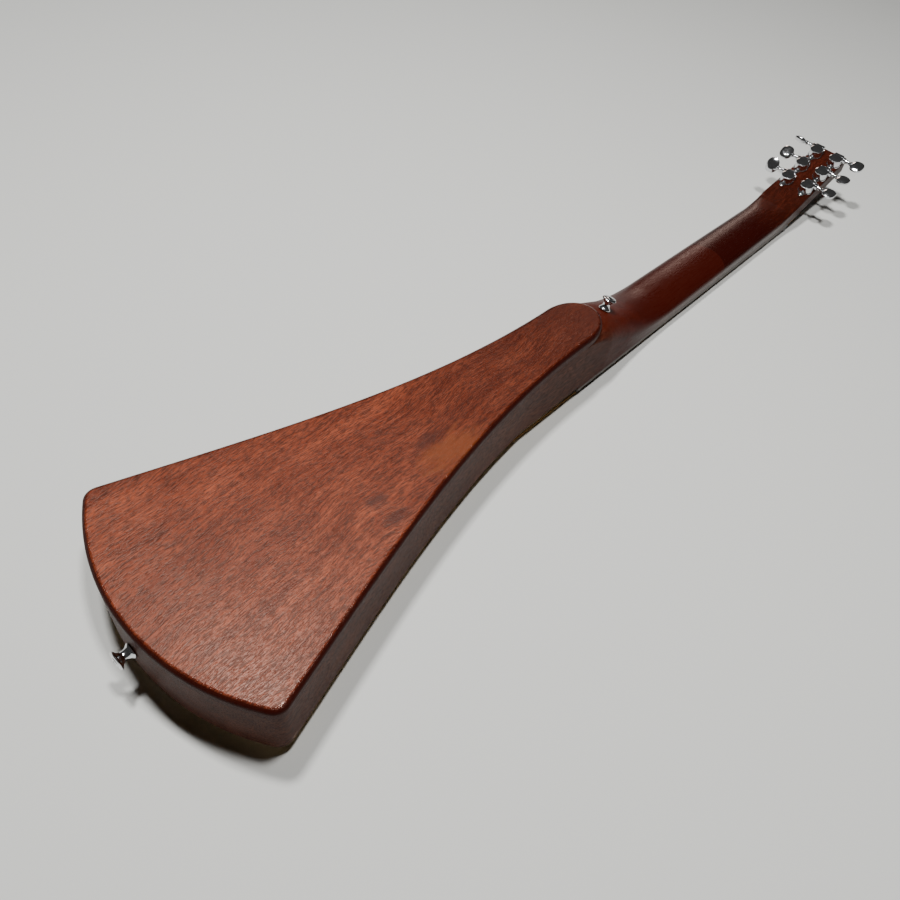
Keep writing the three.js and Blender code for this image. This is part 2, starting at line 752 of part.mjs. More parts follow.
// The upper neck and headstock, joined to the lower neck on a slanted plane.
function headstock() {
  const tilt = radians(headTilt);
  const rise = Math.tan(tilt);
  const thickness = headThickness / Math.cos(tilt);
  const neckPlaceShares = [0.12, 0.5, 0.86];
  const neck = neckPlaceShares.map((share) => neckSection(lerp(scarfX, nutX, share)));
  neck.unshift(neckSection(scarfX + glueGap / 2, scarfLean));
  const nutSide = neckFace + neckRidgeAtNut * nutSideShare;
  const nutRidge = neckFace + neckRidgeAtNut;
  neck.push(section(nutX, neckHalfWidthAtNut, neckHalfWidthAtNut, neckFace, nutSide, nutRidge, nutBoxyShare));
  const blendPlaceShares = [0, 0.3, 0.62, 1];
  const blendBoxyShares = [0.5, 0.28, 0.14, 0.1];
  const blendSideShares = [0.62, 0.76, 0.86, 0.9];
  const blend = blendPlaceShares.map((share, i) => {
    const x = headStart + share * headBlendLength;
    const face = neckFace + (x - headStart) * rise;
    const half = lerp(neckHalfWidthAtNut, headHalfWidth(headBlendLength), share);
    const side = face + thickness * blendSideShares[i];
    return section(x, half, half, face, side, face + thickness, blendBoxyShares[i]);
  });
  const start = headBlendLength * (1 - fitGap / headBlendLength);
  const outline = [
    new THREE.Vector2(start, -headHalfWidth(start)),
    ...headCorner(-1),
    ...headCorner(1),
    new THREE.Vector2(start, headHalfWidth(start)),
  ];
  const levels = roundedLevels(outline, 0, headThickness, headEdgeRadius, headEdgeSteps).map(({ outline: points, z }) => ({
    outline: points.map((point, i) => (i === 0 || i === points.length - 1
      ? new THREE.Vector2(start, point.y)
      : point)),
    z,
  }));
  const slab = stack(levels).rotate([0, -headTilt, 0]).translate([headStart, 0, neckFace]);
  const channel = box(
    at(frontX, -barWidth / 2 - fitGap, neckFace - overrun),
    at(nutX - barEndFromNut + fitGap, barWidth / 2 + fitGap, neckFace + barDepth + fitGap),
  );
  const bores = tunerPlaces.map(({ side, place }) => {
    const radius = postRadius + fitGap + bushingWall + fitGap;
    return bar(radius, -overrun, headThickness + overrun, medium)
      .translate([postAlong(place), side * postRowFromCentre, 0]);
  });
  const pilots = tunerPlaces.map(({ side, place }) =>
    bar(screwShankRadius + fitGap, headThickness - screwLength - fitGap, headThickness + overrun, stringSides)
      .translate([postAlong(place) - caseLugReach, side * postRowFromCentre, 0]));
  const drilled = [...bores, ...pilots].map((tool) =>
    tool.rotate([0, -headTilt, 0]).translate([headStart, 0, neckFace]));
  return cut(join(solid(loft([...neck, ...blend])), slab), channel, ...drilled);
}

// One rounded corner at the headstock's end, on the bass side (-1) or the treble side (1).
function headCorner(side) {
  const centreX = headLength - headCornerRadius;
  const centreY = headHalfWidthAtEnd - headCornerRadius;
  return Array.from({ length: 5 }, (unused, step) => {
    const angle = (side < 0 ? step / 4 - 1 : step / 4) * Math.PI / 2;
    return new THREE.Vector2(
      centreX + headCornerRadius * Math.cos(angle),
      side * centreY + headCornerRadius * Math.sin(angle),
    );
  });
}

// Tuners

// Which string each post takes. With posts this close to the centre line, the outer
// string of each side runs outside its row to the last post, and the next one takes the first.
const tunerPlaces = [
  { number: 2, side: 1, place: 0, turn: -58 },
  { number: 3, side: 1, place: 1, turn: -20 },
  { number: 1, side: 1, place: 2, turn: 46 },
  { number: 5, side: -1, place: 0, turn: -4 },
  { number: 4, side: -1, place: 1, turn: -9 },
  { number: 6, side: -1, place: 2, turn: 4 },
];
const tunerOf = (number) => tunerPlaces.find((tuner) => tuner.number === number);
const wormPitch = (2 * Math.PI * wheelRadius) / wheelTeeth;
const wormPlace = wheelRadius + wormRadius;

// The turns that a string makes round its post, from the point where it first touches.
function windingOf(number) {
  const { side, place } = tunerOf(number);
  const radius = postWaistRadius + glueGap + stringRadius(number);
  const fromX = 0;
  const fromY = stringY(number, stringSpreadAtNut);
  const centreX = postAlong(place);
  const centreY = side * postRowFromCentre;
  const outside = Math.abs(fromY) > postRowFromCentre + radius;
  const way = outside ? side : -side;
  const distance = Math.hypot(centreX - fromX, centreY - fromY);
  const heading = Math.atan2(centreY - fromY, centreX - fromX);
  const first = heading + Math.PI - way * Math.acos(radius / distance);
  const pitch = 2 * stringRadius(number) + windingClearance;
  const steps = Math.round(windingTurns * windingSteps);
  return Array.from({ length: steps + 1 }, (unused, step) => {
    const turned = (step / windingSteps) * 2 * Math.PI;
    const angle = first - way * turned;
    return onHead(
      centreX + radius * Math.cos(angle),
      centreY + radius * Math.sin(angle),
      -windingStart - stringRadius(number) - (step / windingSteps) * pitch,
    );
  });
}

// A tuner post with its wheel, in the tuner's frame: Z = 0 on the headstock's back.
function tunerPost(number) {
  const face = -headThickness;
  const tip = face - postHeight;
  const hub = shaftHeight + wheelThickness / 2;
  const waistEnd = face - postHeight + postTipHeight;
  const profile = [
    [0, tip],
    ...quarter([postRadius, tip + postTipBevel], [0, tip], domeSteps).slice(0, domeSteps).reverse(),
    [postRadius, waistEnd],
    [postWaistRadius, waistEnd + postWaistBevel],
    [postWaistRadius, face - postWaistStart],
    [postRadius, face - postWaistStart + postWaistBevel],
    [postRadius, hub + fitGap],
    [0, hub + fitGap],
  ];
  const stub = bar(stringRadius(number), -postWaistRadius - stubLength, postWaistRadius + stubLength, stringSides)
    .rotate([90, 0, 0]).translate([0, 0, face - postHoleHeight]);
  return join(turned(profile, coarse), stub, wheel());
}

// The worm wheel, with teeth that lean like the worm's thread.
function wheel() {
  const lean = Math.atan2(wormPitch, 2 * Math.PI * wormRadius);
  const heights = [shaftHeight - wheelThickness / 2, shaftHeight + wheelThickness / 2];
  const rootHalf = (wormPitch / wheelRadius - toothThickness / wheelRadius) * wheelRootShare;
  const tipHalf = toothTipThickness / (wheelRadius + toothReach) / 2;
  const step = (2 * Math.PI) / wheelTeeth;
  const rings = heights.map((z) => {
    const twist = ((z - shaftHeight) * Math.tan(lean)) / wheelRadius;
    return Array.from({ length: wheelTeeth }, (unused, tooth) => {
      const middle = (tooth + 0.5) * step + twist;
      return [
        [wheelRadius - toothRoot, -step / 2 + rootHalf],
        [wheelRadius + toothReach, -tipHalf],
        [wheelRadius + toothReach, tipHalf],
        [wheelRadius - toothRoot, step / 2 - rootHalf],
      ].map(([radius, offset]) =>
        at(radius * Math.cos(middle + offset), radius * Math.sin(middle + offset), z));
    }).flat();
  });
  return solid(loft(rings));
}

// The worm: a right-hand thread on its core, along Y, meshing with the wheel at the post.
function worm() {
  const core = wormRadius - toothRoot;
  const tip = wormRadius + toothReach;
  const steps = Math.round(wormTurns * coarse);
  const baseHalf = (wormPitch - toothThickness) * wormRootShare;
  const tipHalf = toothTipThickness / 2;
  const rings = Array.from({ length: steps + 1 }, (unused, step) => {
    const angle = ((step - steps / 2) / coarse) * 2 * Math.PI - Math.PI / 2;
    const along = ((step - steps / 2) / coarse) * wormPitch;
    return [
      [core - fitGap, -baseHalf],
      [tip, -tipHalf],
      [tip, tipHalf],
      [core - fitGap, baseHalf],
    ].map(([radius, offset]) => at(radius * Math.sin(angle), along + offset, radius * Math.cos(angle)));
  });
  return solid(loft(rings));
}

// A tuner button with its shaft and worm, about its own axis along Y.
function tunerButton(side, turn) {
  const shaft = turned([
    [0, -caseNoseRadius * 2],
    [wormRadius - toothRoot, -caseNoseRadius * 2],
    [wormRadius - toothRoot, caseNoseReach + fitGap],
    [collarRadius, caseNoseReach + fitGap],
    [collarRadius, collarReach],
    [buttonShaftRadius, collarReach + fitGap],
    [buttonShaftRadius, buttonReach],
    [0, buttonReach],
  ], coarse).rotate([-90, 0, 0]);
  const levels = [
    [-buttonThickness / 2, buttonFaceShare],
    [-buttonRimThickness / 2, 1],
    [buttonRimThickness / 2, 1],
    [buttonThickness / 2, buttonFaceShare],
  ];
  const rims = levels.map(([z, share]) => ({
    z,
    outline: buttonOutline().map((point) => point.clone().multiplyScalar(share)),
  }));
  const paddle = stack(rims).translate([0, buttonReach, 0]).rotate([0, turn, 0]);
  const made = join(shaft, paddle);
  return (side > 0 ? made : made.rotate([0, 0, 180])).add(worm());
}

// The button's face: a rounded lozenge, a little longer across its shaft.
function buttonOutline() {
  const outlineShares = [[0, 1], [0.62, 0.86], [0.95, 0.36], [1, 0], [0.95, -0.36], [0.62, -0.86]];
  const other = outlineShares.map(([across, along]) => [-across, -along]);
  return [...outlineShares, ...other]
    .map(([across, along]) => new THREE.Vector2(across * buttonHeight / 2, along * buttonLength / 2))
    .reverse();
}

// The case over the wheel and worm: floor with a screw lug, round wall, domed cap and shaft nose.
function tunerCase(side) {
  const wheelRoom = wheelRadius + toothReach + fitGap;
  const wormRoom = wormRadius + toothReach + fitGap;
  const wallRadius = wheelRoom + caseWall;
  const roof = shaftHeight + wheelThickness / 2 + 2 * fitGap;
  const capBottom = roof + caseWall - caseCapLip / 2;
  const wormHalf = (wormTurns / 2 + 0.5) * wormPitch + fitGap;
  const barrel = bar(wallRadius, 0, capBottom + caseCapLip / 2, fine);
  const cap = turned([
    [0, capBottom],
    [caseCapRadius, capBottom],
    ...quarter([caseCapRadius, capBottom + caseCapLip], [0, capBottom + caseCapLip + caseCapDome], capSteps),
  ], fine);
  const floor = join(
    bar(caseLugRadius, 0, caseFloorThickness, coarse).translate([-caseLugReach, 0, 0]),
    box(at(-caseLugReach, -caseLugRadius, 0), at(0, caseLugRadius, caseFloorThickness)),
    box(at(0, -wormHalf - caseWall, 0), at(wormPlace + wormRoom, wormHalf + caseWall, caseFloorThickness)),
  );
  const wormCase = bar(wormRoom + caseWall, -wormHalf - caseWall, wormHalf + caseWall, medium)
    .rotate([-90, 0, 0]).translate([wormPlace, 0, shaftHeight]);
  const nose = bar(caseNoseRadius, 0, caseNoseReach, coarse).rotate([-90, 0, 0])
    .translate([wormPlace, 0, shaftHeight]);
  const wheelHollow = bar(wheelRoom, -overrun, roof, fine);
  const wormHollow = bar(wormRoom, -wormHalf, wormHalf, medium)
    .rotate([-90, 0, 0]).translate([wormPlace, 0, shaftHeight]);
  const shaftHole = bar(wormRadius - toothRoot + fitGap, -caseNoseRadius * 2 - fitGap, caseNoseReach + overrun, coarse)
    .rotate([-90, 0, 0]).translate([wormPlace, 0, shaftHeight]);
  const screwHole = bar(screwShankRadius + fitGap, -overrun, caseFloorThickness + overrun, stringSides)
    .translate([-caseLugReach, 0, 0]);
  const under = box(at(-2 * caseLugReach, -2 * caseLugReach, -caseLugReach), at(2 * caseLugReach, 2 * caseLugReach, 0));
  const outer = cut(join(barrel, cap, floor, wormCase, nose), under);
  const made = cut(outer, wheelHollow, wormHollow, shaftHole, screwHole);
  return side > 0 ? made : mirrored(made);
}

// The mirror image of a solid across the guitar.
const mirrored = (made) => solid(geometryOf(made).scale(1, -1, 1));

// The bushing that lines the headstock's face round a post.
function tunerBushing() {
  const inner = postRadius + fitGap;
  const outer = inner + bushingWall;
  const face = -headThickness;
  const profile = [
    [inner, face - bushingFlangeThickness - glueGap],
    [bushingFlangeRadius - fitGap, face - bushingFlangeThickness - glueGap],
    [bushingFlangeRadius, face - glueGap],
    [outer, face - glueGap],
    [outer, face + bushingDepth],
    [inner, face + bushingDepth],
    [inner, face - bushingFlangeThickness - glueGap],
  ];
  return turned(profile, coarse);
}

// A round-headed wood screw, its head on Z = 0 and its shank below.
function screw(headRadius, dome, shankRadius, length, segments) {
  return turned([
    [0, -length],
    [shankRadius, shankRadius * 2 - length],
    [shankRadius, 0],
    [headRadius, 0],
    ...quarter([headRadius, screwHeadLip], [0, dome], domeSteps),
  ], segments);
}

// Strap buttons

const upward = at(0, 0, 1);
const tailStrap = (() => {
  const sag = tailRadius - Math.sqrt(tailRadius ** 2 - strapBaseRadius ** 2);
  return { seat: at(0, 0, (rimFace + rimTop) / 2), normal: at(-1, 0, 0), lift: fitGap - sag };
})();
const heelStrap = (() => {
  const surface = (x, y) => at(x, y, heelSurface(x, y));
  const middle = surface(tongueEnd + heelStrapFromTongue, 0);
  const ahead = surface(middle.x + strapBaseRadius, 0).sub(surface(middle.x - strapBaseRadius, 0));
  const beside = surface(middle.x, strapBaseRadius).sub(surface(middle.x, -strapBaseRadius));
  const normal = new THREE.Vector3().crossVectors(ahead, beside).normalize();
  return { seat: middle, normal, lift: fitGap };
})();

// The height of the heel's surface, from the same shares that shape it.
function heelSurface(x, y) {
  const share = between(frontX, heelEnd, x);
  const next = heelPlaceShares.findIndex((place) => place >= share);
  const part = between(heelPlaceShares[next - 1], heelPlaceShares[next], share);
  const read = (shares) => lerp(shares[next - 1], shares[next], part);
  const side = lerp(neckFace + neckSideAtHeel, rimTop, read(heelSideShares));
  const ridge = lerp(neckFace + neckRidgeAtHeel, rimTop, read(heelRidgeShares));
  const boxy = read(heelBoxyShares);
  const across = Math.min(1, Math.abs(y) / neckHalfWidth(x)) ** (1 / boxy);
  return lerp(side, ridge, Math.sqrt(1 - across ** 2) ** boxy);
}

// Turns a solid made along Z to a strap button's place and direction.
function toStrap(made, { seat, normal, lift }) {
  const turn = new THREE.Quaternion().setFromUnitVectors(upward, normal);
  const place = seat.clone().addScaledVector(normal, lift);
  return made.transform(new THREE.Matrix4().compose(place, turn, at(1, 1, 1)).toArray());
}

// A strap button: a waisted knob with a bore and a sunk seat for its screw.
function strapButton(where) {
  const bore = strapScrewRadius + fitGap;
  const profile = [
    [bore, 0],
    [strapBaseRadius, 0],
    [strapBaseRadius, strapFlangeThickness],
    [strapNeckRadius, strapHeight * strapWaistShares[0]],
    [strapNeckRadius, strapHeight * strapWaistShares[1]],
    [strapHeadRadius, strapHeight - strapFlangeThickness],
    [strapHeadRadius, strapHeight - strapFlangeThickness / 2],
    [strapHeadRadius - strapFlangeThickness / 2, strapHeight],
    [strapSinkRadius, strapHeight],
    [bore, strapHeight - strapSinkDepth],
    [bore, 0],
  ];
  return toStrap(turned(profile, fine), where);
}

// A strap button's screw, whose cone sits in the button's mouth under a low dome.
function strapScrew(where) {
  const profile = [
    [0, strapHeight - strapScrewLength],
    [strapScrewRadius, strapHeight - strapScrewLength + strapScrewRadius * 2],
    [strapScrewRadius, strapHeight - strapSinkDepth],
    [strapScrewHeadRadius, strapHeight - glueGap],
    ...quarter([strapScrewHeadRadius, strapHeight], [0, strapHeight + strapScrewDome], domeSteps),
  ];
  return toStrap(turned(profile, medium), where);
}

// The pilot hole that a strap button's screw runs in.
const strapPilot = (where) => toStrap(
  bar(strapScrewRadius + fitGap, strapHeight - strapScrewLength - fitGap, overrun * 2, coarse),
  where,
);

// Finishes

const finish = (color, roughness, metalness) =>
  new THREE.MeshStandardMaterial({ color, roughness, metalness, flatShading: true });
const mahogany = () => finish(0x7d4841, 0.55, 0);
const darkMahogany = () => finish(0x4a130c, 0.4, 0);
const headWood = () => finish(0x3c0c06, 0.4, 0);
const spruce = () => finish(0xd9b98a, 0.5, 0);
const ebony = () => finish(0x1b1614, 0.5, 0);
const bone = () => finish(0xe9e2cf, 0.4, 0);
const maple = () => finish(0xc9a878, 0.6, 0);
const chrome = () => finish(0xc8c9cc, 0.12, 1);
const steel = () => finish(0xa8a8a8, 0.3, 1);
const bronze = () => finish(0xb08a4a, 0.35, 1);

// The assembly

const guitar = new THREE.Group();

function add(parent, name, made, material) {
  const mesh = new THREE.Mesh(geometryOf(made), material);
  mesh.name = name;
  parent.add(mesh);
  return mesh;
}

add(guitar, 'back_plate', backPlate(), mahogany());
add(guitar, 'rim_and_neck', rimAndNeck(), darkMahogany());
add(guitar, 'headstock', headstock(), headWood());
add(guitar, 'soundboard', soundboard(), spruce());
add(guitar, 'front_brace', brace(saddleFromTail + frontBraceFromSaddle), spruce());
add(guitar, 'rear_brace', brace(saddleFromTail - rearBraceFromSaddle), spruce());
add(guitar, 'bridge_plate', bridgePlate(), maple());
add(guitar, 'bridge', bridge(), ebony());
add(guitar, 'saddle', saddle(), bone());
add(guitar, 'fingerboard', fingerboard(), ebony());
add(guitar, 'neck_bar', neckBar(), steel());
add(guitar, 'nut', nut(), bone());
add(guitar, 'tail_strap_button', strapButton(tailStrap), chrome());
add(guitar, 'tail_strap_screw', strapScrew(tailStrap), chrome());
add(guitar, 'heel_strap_button', strapButton(heelStrap), chrome());
add(guitar, 'heel_strap_screw', strapScrew(heelStrap), chrome());
for (const number of stringNumbers) {
  add(guitar, `bridge_pin_${number}`, bridgePin(number), ebony());
  add(guitar, `string_${number}`, string(number), number < 3 ? steel() : bronze());
}

// The headstock's own group: X along it from the nut, Z up from its face.
const head = new THREE.Group();
head.position.set(headStart, 0, neckFace);
head.rotation.y = -radians(headTilt);
guitar.add(head);

for (const { number, side, place, turn } of tunerPlaces) {
  const tuner = new THREE.Group();
  tuner.position.set(postAlong(place), side * postRowFromCentre, headThickness);
  head.add(tuner);
  const cover = add(tuner, `tuner_case_${number}`, tunerCase(side), chrome());
  cover.position.z = glueGap;
  const fastener = add(tuner, `tuner_screw_${number}`,
    screw(screwHeadRadius, screwHeadHeight, screwShankRadius, screwLength, coarse), chrome());
  fastener.position.set(-caseLugReach, 0, caseFloorThickness + 2 * glueGap);
  add(tuner, `tuner_bushing_${number}`, tunerBushing(), chrome());
  add(tuner, `tuner_post_${number}`, tunerPost(number), chrome());
  const button = add(tuner, `tuner_button_${number}`, tunerButton(side, turn), chrome());
  button.position.set(wormPlace, 0, shaftHeight);
}

// The least gap between the turns of each winding, measured on the points of its surface.
for (const number of stringNumbers) {
  const centres = windingOf(number);
  const least = centres.reduce((best, point, i) => centres.slice(i + windingSteps / 2)
    .reduce((nearest, other) => Math.min(nearest, point.distanceTo(other)), best), Infinity);
  console.log(`string_${number} winding: least gap ${(least - 2 * stringRadius(number)).toFixed(3)} mm`);
}

// The part stands on the origin, centred over it.
const bounds = new THREE.Box3().setFromObject(guitar, true);
const middle = bounds.getCenter(new THREE.Vector3());
guitar.position.set(-middle.x, -middle.y, -bounds.min.z);

export default guitar;
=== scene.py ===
"""A travel guitar lying face down on its strings, dressed round its measured frame."""

import math

import bmesh
import bpy
import numpy as np
from mathutils import Matrix, Vector


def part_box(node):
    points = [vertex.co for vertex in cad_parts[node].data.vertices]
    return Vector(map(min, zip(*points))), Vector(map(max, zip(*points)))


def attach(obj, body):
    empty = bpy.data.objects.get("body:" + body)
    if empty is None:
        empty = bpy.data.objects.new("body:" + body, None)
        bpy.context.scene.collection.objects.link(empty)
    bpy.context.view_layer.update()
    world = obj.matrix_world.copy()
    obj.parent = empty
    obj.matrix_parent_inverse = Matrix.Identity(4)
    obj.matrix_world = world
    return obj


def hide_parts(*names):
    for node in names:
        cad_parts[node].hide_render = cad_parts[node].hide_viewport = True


bl_info = {
    "name": "Travel guitar",
    "version": (1, 0, 0),
    "blender": (4, 5, 0),
    "location": "3D View > Sidebar > Guitar",
    "description": "Models a travel guitar piece by piece, with its finishes and its stage",
    "category": "Add Mesh",
}

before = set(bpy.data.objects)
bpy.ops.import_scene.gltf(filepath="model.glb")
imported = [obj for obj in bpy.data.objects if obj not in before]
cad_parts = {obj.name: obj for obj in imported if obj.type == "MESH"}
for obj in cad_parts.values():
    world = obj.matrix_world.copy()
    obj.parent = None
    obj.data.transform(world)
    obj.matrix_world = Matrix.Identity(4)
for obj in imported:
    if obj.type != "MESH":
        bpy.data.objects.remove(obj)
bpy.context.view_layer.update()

# The tail's middle on the plane of the strings is the place that every size is measured from.
TAIL_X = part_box("back_plate")[0][0]
STRING_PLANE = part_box("soundboard")[0][2] - 0.011

# Gaps between pieces, and how exactly a level edge is picked
GLUE_GAP = 0.0001
FIT_GAP = 0.0003
LEVEL_TOLERANCE = 1e-5

# Strings, saddle and nut
STRING_DIAMETERS = (0.0003, 0.00041, 0.00061, 0.00081, 0.00107, 0.00135)
SPREAD_AT_NUT = 0.0358
SPREAD_AT_SADDLE = 0.053
ACTION_AT_NUT = 0.0006
ACTION_AT_BODY = 0.0026
NUT_GAP = 0.0002
SADDLE_HALF = 0.0013
BALL_RADIUS = 0.002
BALL_LENGTH = 0.0038

# Bridge and pins
BRIDGE_LENGTH = 0.034
BRIDGE_WIDTH = 0.100
BRIDGE_THICKNESS = 0.0075
BRIDGE_CORNER = 0.008
BRIDGE_EDGE = 0.0022
BRIDGE_AHEAD = 0.011
BRIDGE_PLATE_THICKNESS = 0.0025
SLOT_HALF = 0.0014
SLOT_HALF_WIDTH = 0.0363
SLOT_DEPTH = 0.004
PIN_ROW = 0.014
PIN_HOLE_RADIUS = 0.0029
STRING_BESIDE_PIN = 0.0027
RAMP_LENGTH = 0.008
RAMP_DEPTH = 0.0036
CUT_OVERRUN = 0.002

# Fingerboard and frets
BOARD_EDGE = 0.0006
FRET_HALF = 0.0011
FRET_HEIGHT = 0.001
FRET_ROOT = 0.0004
FRET_INSET = 0.0002
FRET_STATIONS = (
    (-1.0, 0.45), (-0.985, 0.9), (-0.96, 1.0), (0.0, 1.0), (0.96, 1.0), (0.985, 0.9), (1.0, 0.45),
)
DOTS = ((3, 0.0), (5, 0.0), (7, 0.0), (9, 0.0), (12, -0.009), (12, 0.009))

# Body and heel
TRAY_INSET = 0.008
TRAY_DEPTH = 0.004
SIDE_REACH_SHARES = (0.341, 0.637)
BLOCK_START, BLOCK_END, BLOCK_HALF = 0.0045, 0.016, 0.032
SCARF_LEAN = 0.9
HEEL_NARROW_SHARE = 0.25
HEEL_PLACES = (0, 0.14, 0.25, 0.36, 0.47, 0.58, 0.7, 0.84, 1)
HEEL_RIDGES = (1, 1, 0.985, 0.87, 0.67, 0.44, 0.23, 0.07, 0)
HEEL_SIDES = (0.99, 0.86, 0.66, 0.45, 0.3, 0.18, 0.09, 0.03, 0)
HEEL_BOXES = (0.3, 0.5, 0.7, 0.85, 0.95, 1, 1, 1, 1)
RIDGE_STEPS = 36
CORNER_STEPS = 12

# Headstock: its rounded edges, and the lengths over which the neck turns into it
HEAD_END_RADIUS = 0.003
HEAD_EDGE_RADIUS = 0.0024
HEAD_SWELL = 0.0003
HEAD_SWELL_LENGTH = 0.025
HEAD_JOIN_LENGTH = 0.030
HEAD_WIDEN_LENGTH = 0.012
HEAD_LEAN_LENGTH = 0.024

# Tuners: string number, side of the headstock, place along it and how far its button is turned
TUNERS = ((2, 1, 0, -58), (3, 1, 1, -20), (1, 1, 2, 46), (5, -1, 0, -4), (4, -1, 1, -9), (6, -1, 2, 4))
POST_WAIST = 0.0025
POST_HOLE_PLACE = 0.0256
WHEEL_TEETH = 14
WHEEL_ROOT, WHEEL_TIP = 0.00375, 0.0052
WHEEL_LOW, WHEEL_HIGH = 0.0029, 0.0059
WHEEL_TWIST = 0.1429 / 0.0046
WORM_CORE, WORM_TIP, WORM_LEAD = 0.00125, 0.0029, 0.0020645
LUG_RADIUS = 0.0027
LUG_HOLE_RADIUS = 0.0012
LUG_THICKNESS = 0.0012
BARREL_HALF = 0.0053

# The photograph's camera: its place, and the directions right, up and back of its picture
CAMERA_PLACE = (-0.04813, -0.23460, 0.45969)
CAMERA_AXES = ((0.69670, -0.71035, 0.10004), (0.50385, 0.58383, 0.63662), (-0.51063, -0.39312, 0.76466))
SENSOR_WIDTH = 36.0

# Name, place, target, width, power, colour, and whether it lights more than glossy surfaces
LIGHTS = (
    ("near_lamp", (0.33, -0.15, 1.65), (0.33, 0.0, 0.0), 0.16, 20.0, (1.0, 1.0, 1.0), True),
    ("far_lamp", (0.22, 0.36, 1.70), (0.25, 0.0, 0.0), 0.16, 28.0, (1.0, 1.0, 1.0), True),
    ("window", (1.92, 0.84, 0.56), (0.60, 0.0, 0.02), 0.34, 1.8, (1.0, 0.80, 0.70), False),
)


# Sizes and colours that can be changed


def length(name, description, default):
    return bpy.props.FloatProperty(
        name=name, description=description, default=default, min=0.0,
        unit="LENGTH", subtype="DISTANCE", precision=5,
    )


def angle(name, description, degrees):
    return bpy.props.FloatProperty(
        name=name, description=description, default=math.radians(degrees), unit="ROTATION", subtype="ANGLE",
    )


def colour(name, description, default):
    return bpy.props.FloatVectorProperty(
        name=name, description=description, default=default, min=0.0, max=1.0, size=3, subtype="COLOR"
    )


class GuitarBodySizes(bpy.types.PropertyGroup):
    tail_half_width: length("Tail half width", "Half the width across the tail's corners", 0.093)
    tail_radius: length("Tail radius", "Radius of the tail's arc", 0.1603)
    corner_radius: length("Corner radius", "Radius of the two tail corners", 0.0097)
    waist_half_width: length("Waist half width", "Half the width where the body meets the neck", 0.0229)
    flare: angle("Flare", "How far the sides lean from the centre line at the tail", 17.1)
    tongue_length: length("Tongue length", "How far the back reaches over the heel", 0.0354)
    tongue_round: length("Tongue round", "Length of the tongue's rounded end", 0.0314)
    soundboard_face: length("Soundboard height", "Height of the soundboard's face over the strings", 0.011)
    soundboard_thickness: length("Soundboard thickness", "Thickness of the soundboard", 0.003)
    depth: length("Depth", "Depth of the body from face to back", 0.048)
    back_thickness: length("Back thickness", "Thickness of the back at its edge", 0.008)
    edge_radius: length("Edge radius", "Radius of the back's rounded edge", 0.0038)
    wall: length("Wall", "Thickness of the sides", 0.0065)
    flank_length: length("Flank length", "Length of the straight flanks behind the neck", 0.077)
    soundhole_radius: length("Soundhole radius", "Radius of the soundhole", 0.021)
    soundhole_from_front: length("Soundhole place", "From the body's front to the soundhole", 0.127)


class GuitarNeckSizes(bpy.types.PropertyGroup):
    scale_length: length("Scale length", "From the nut to the saddle", 0.6096)
    saddle_from_tail: length("Saddle place", "From the tail to the saddle", 0.1251)
    past_last_fret: length("Board past the last fret", "From the last fret to the body's front", 0.0044)
    half_width_nut: length("Half width at the nut", "Half the neck's width at the nut", 0.0200)
    half_width_twelfth: length("Half width at the twelfth fret", "Half the neck's width there", 0.0250)
    face: length("Neck face", "Height of the neck's glued face over the strings", 0.0086)
    ridge_nut: length("Ridge at the nut", "Thickness of the neck at the nut", 0.0146)
    ridge_heel: length("Ridge at the heel", "Thickness of the neck before the heel", 0.0146)
    side_nut: length("Side at the nut", "Height of the neck's flat side at the nut", 0.006)
    side_heel: length("Side at the heel", "Height of the neck's flat side before the heel", 0.005)
    heel_length: length("Heel length", "From the body's front to the end of the heel", 0.135)
    scarf_from_nut: length("Scarf place", "From the nut back to the slanted joint", 0.137)
    head_length: length("Headstock length", "From the nut to the headstock's end", 0.110)
    head_thickness: length("Headstock thickness", "Thickness of the headstock", 0.015)
    head_half_width: length("Headstock half width", "Half its width at the nut", 0.0204)
    head_half_end: length("Headstock end half width", "Half its width at the end", 0.0178)
    head_tilt: angle("Headstock tilt", "How far the headstock leans back", 11.5)
    blend_before: length("Blend before the nut", "Where the neck's shoulders start to square up", 0.024)
    blend_after: length("Blend after the nut", "Where the headstock is fully flat", 0.012)
    nut_thickness: length("Nut thickness", "Thickness of the nut", 0.0054)
    frets: bpy.props.IntProperty(name="Frets", description="How many frets", default=15, min=1)


class GuitarTunerSizes(bpy.types.PropertyGroup):
    first_post: length("First post", "From the nut to the first post", 0.0361)
    spacing: length("Spacing", "From one post to the next", 0.0275)
    row: length("Row", "From the centre line to each row of posts", 0.0112)
    cap_radius: length("Cap radius", "Radius of the domed cap", 0.0067)
    wall_radius: length("Case radius", "Radius of the case's round wall", 0.0064)
    shaft_height: length("Shaft height", "Height of the button's shaft over the headstock", 0.0044)
    shaft_place: length("Shaft place", "From the post's axis to the shaft's axis", 0.0069)
    lug_reach: length("Lug reach", "From the post's axis to the screw", 0.0085)
    button_reach: length("Button reach", "From the post's axis to the button's middle", 0.0223)
    button_length: length("Button length", "Length of the button along its shaft", 0.0134)
    button_height: length("Button height", "Width of the button across its shaft", 0.0154)
    button_thickness: length("Button thickness", "Thickness of the button", 0.005)
    post_radius: length("Post radius", "Radius of the string post", 0.003)
    post_height: length("Post height", "How far the post stands out of the face", 0.0135)


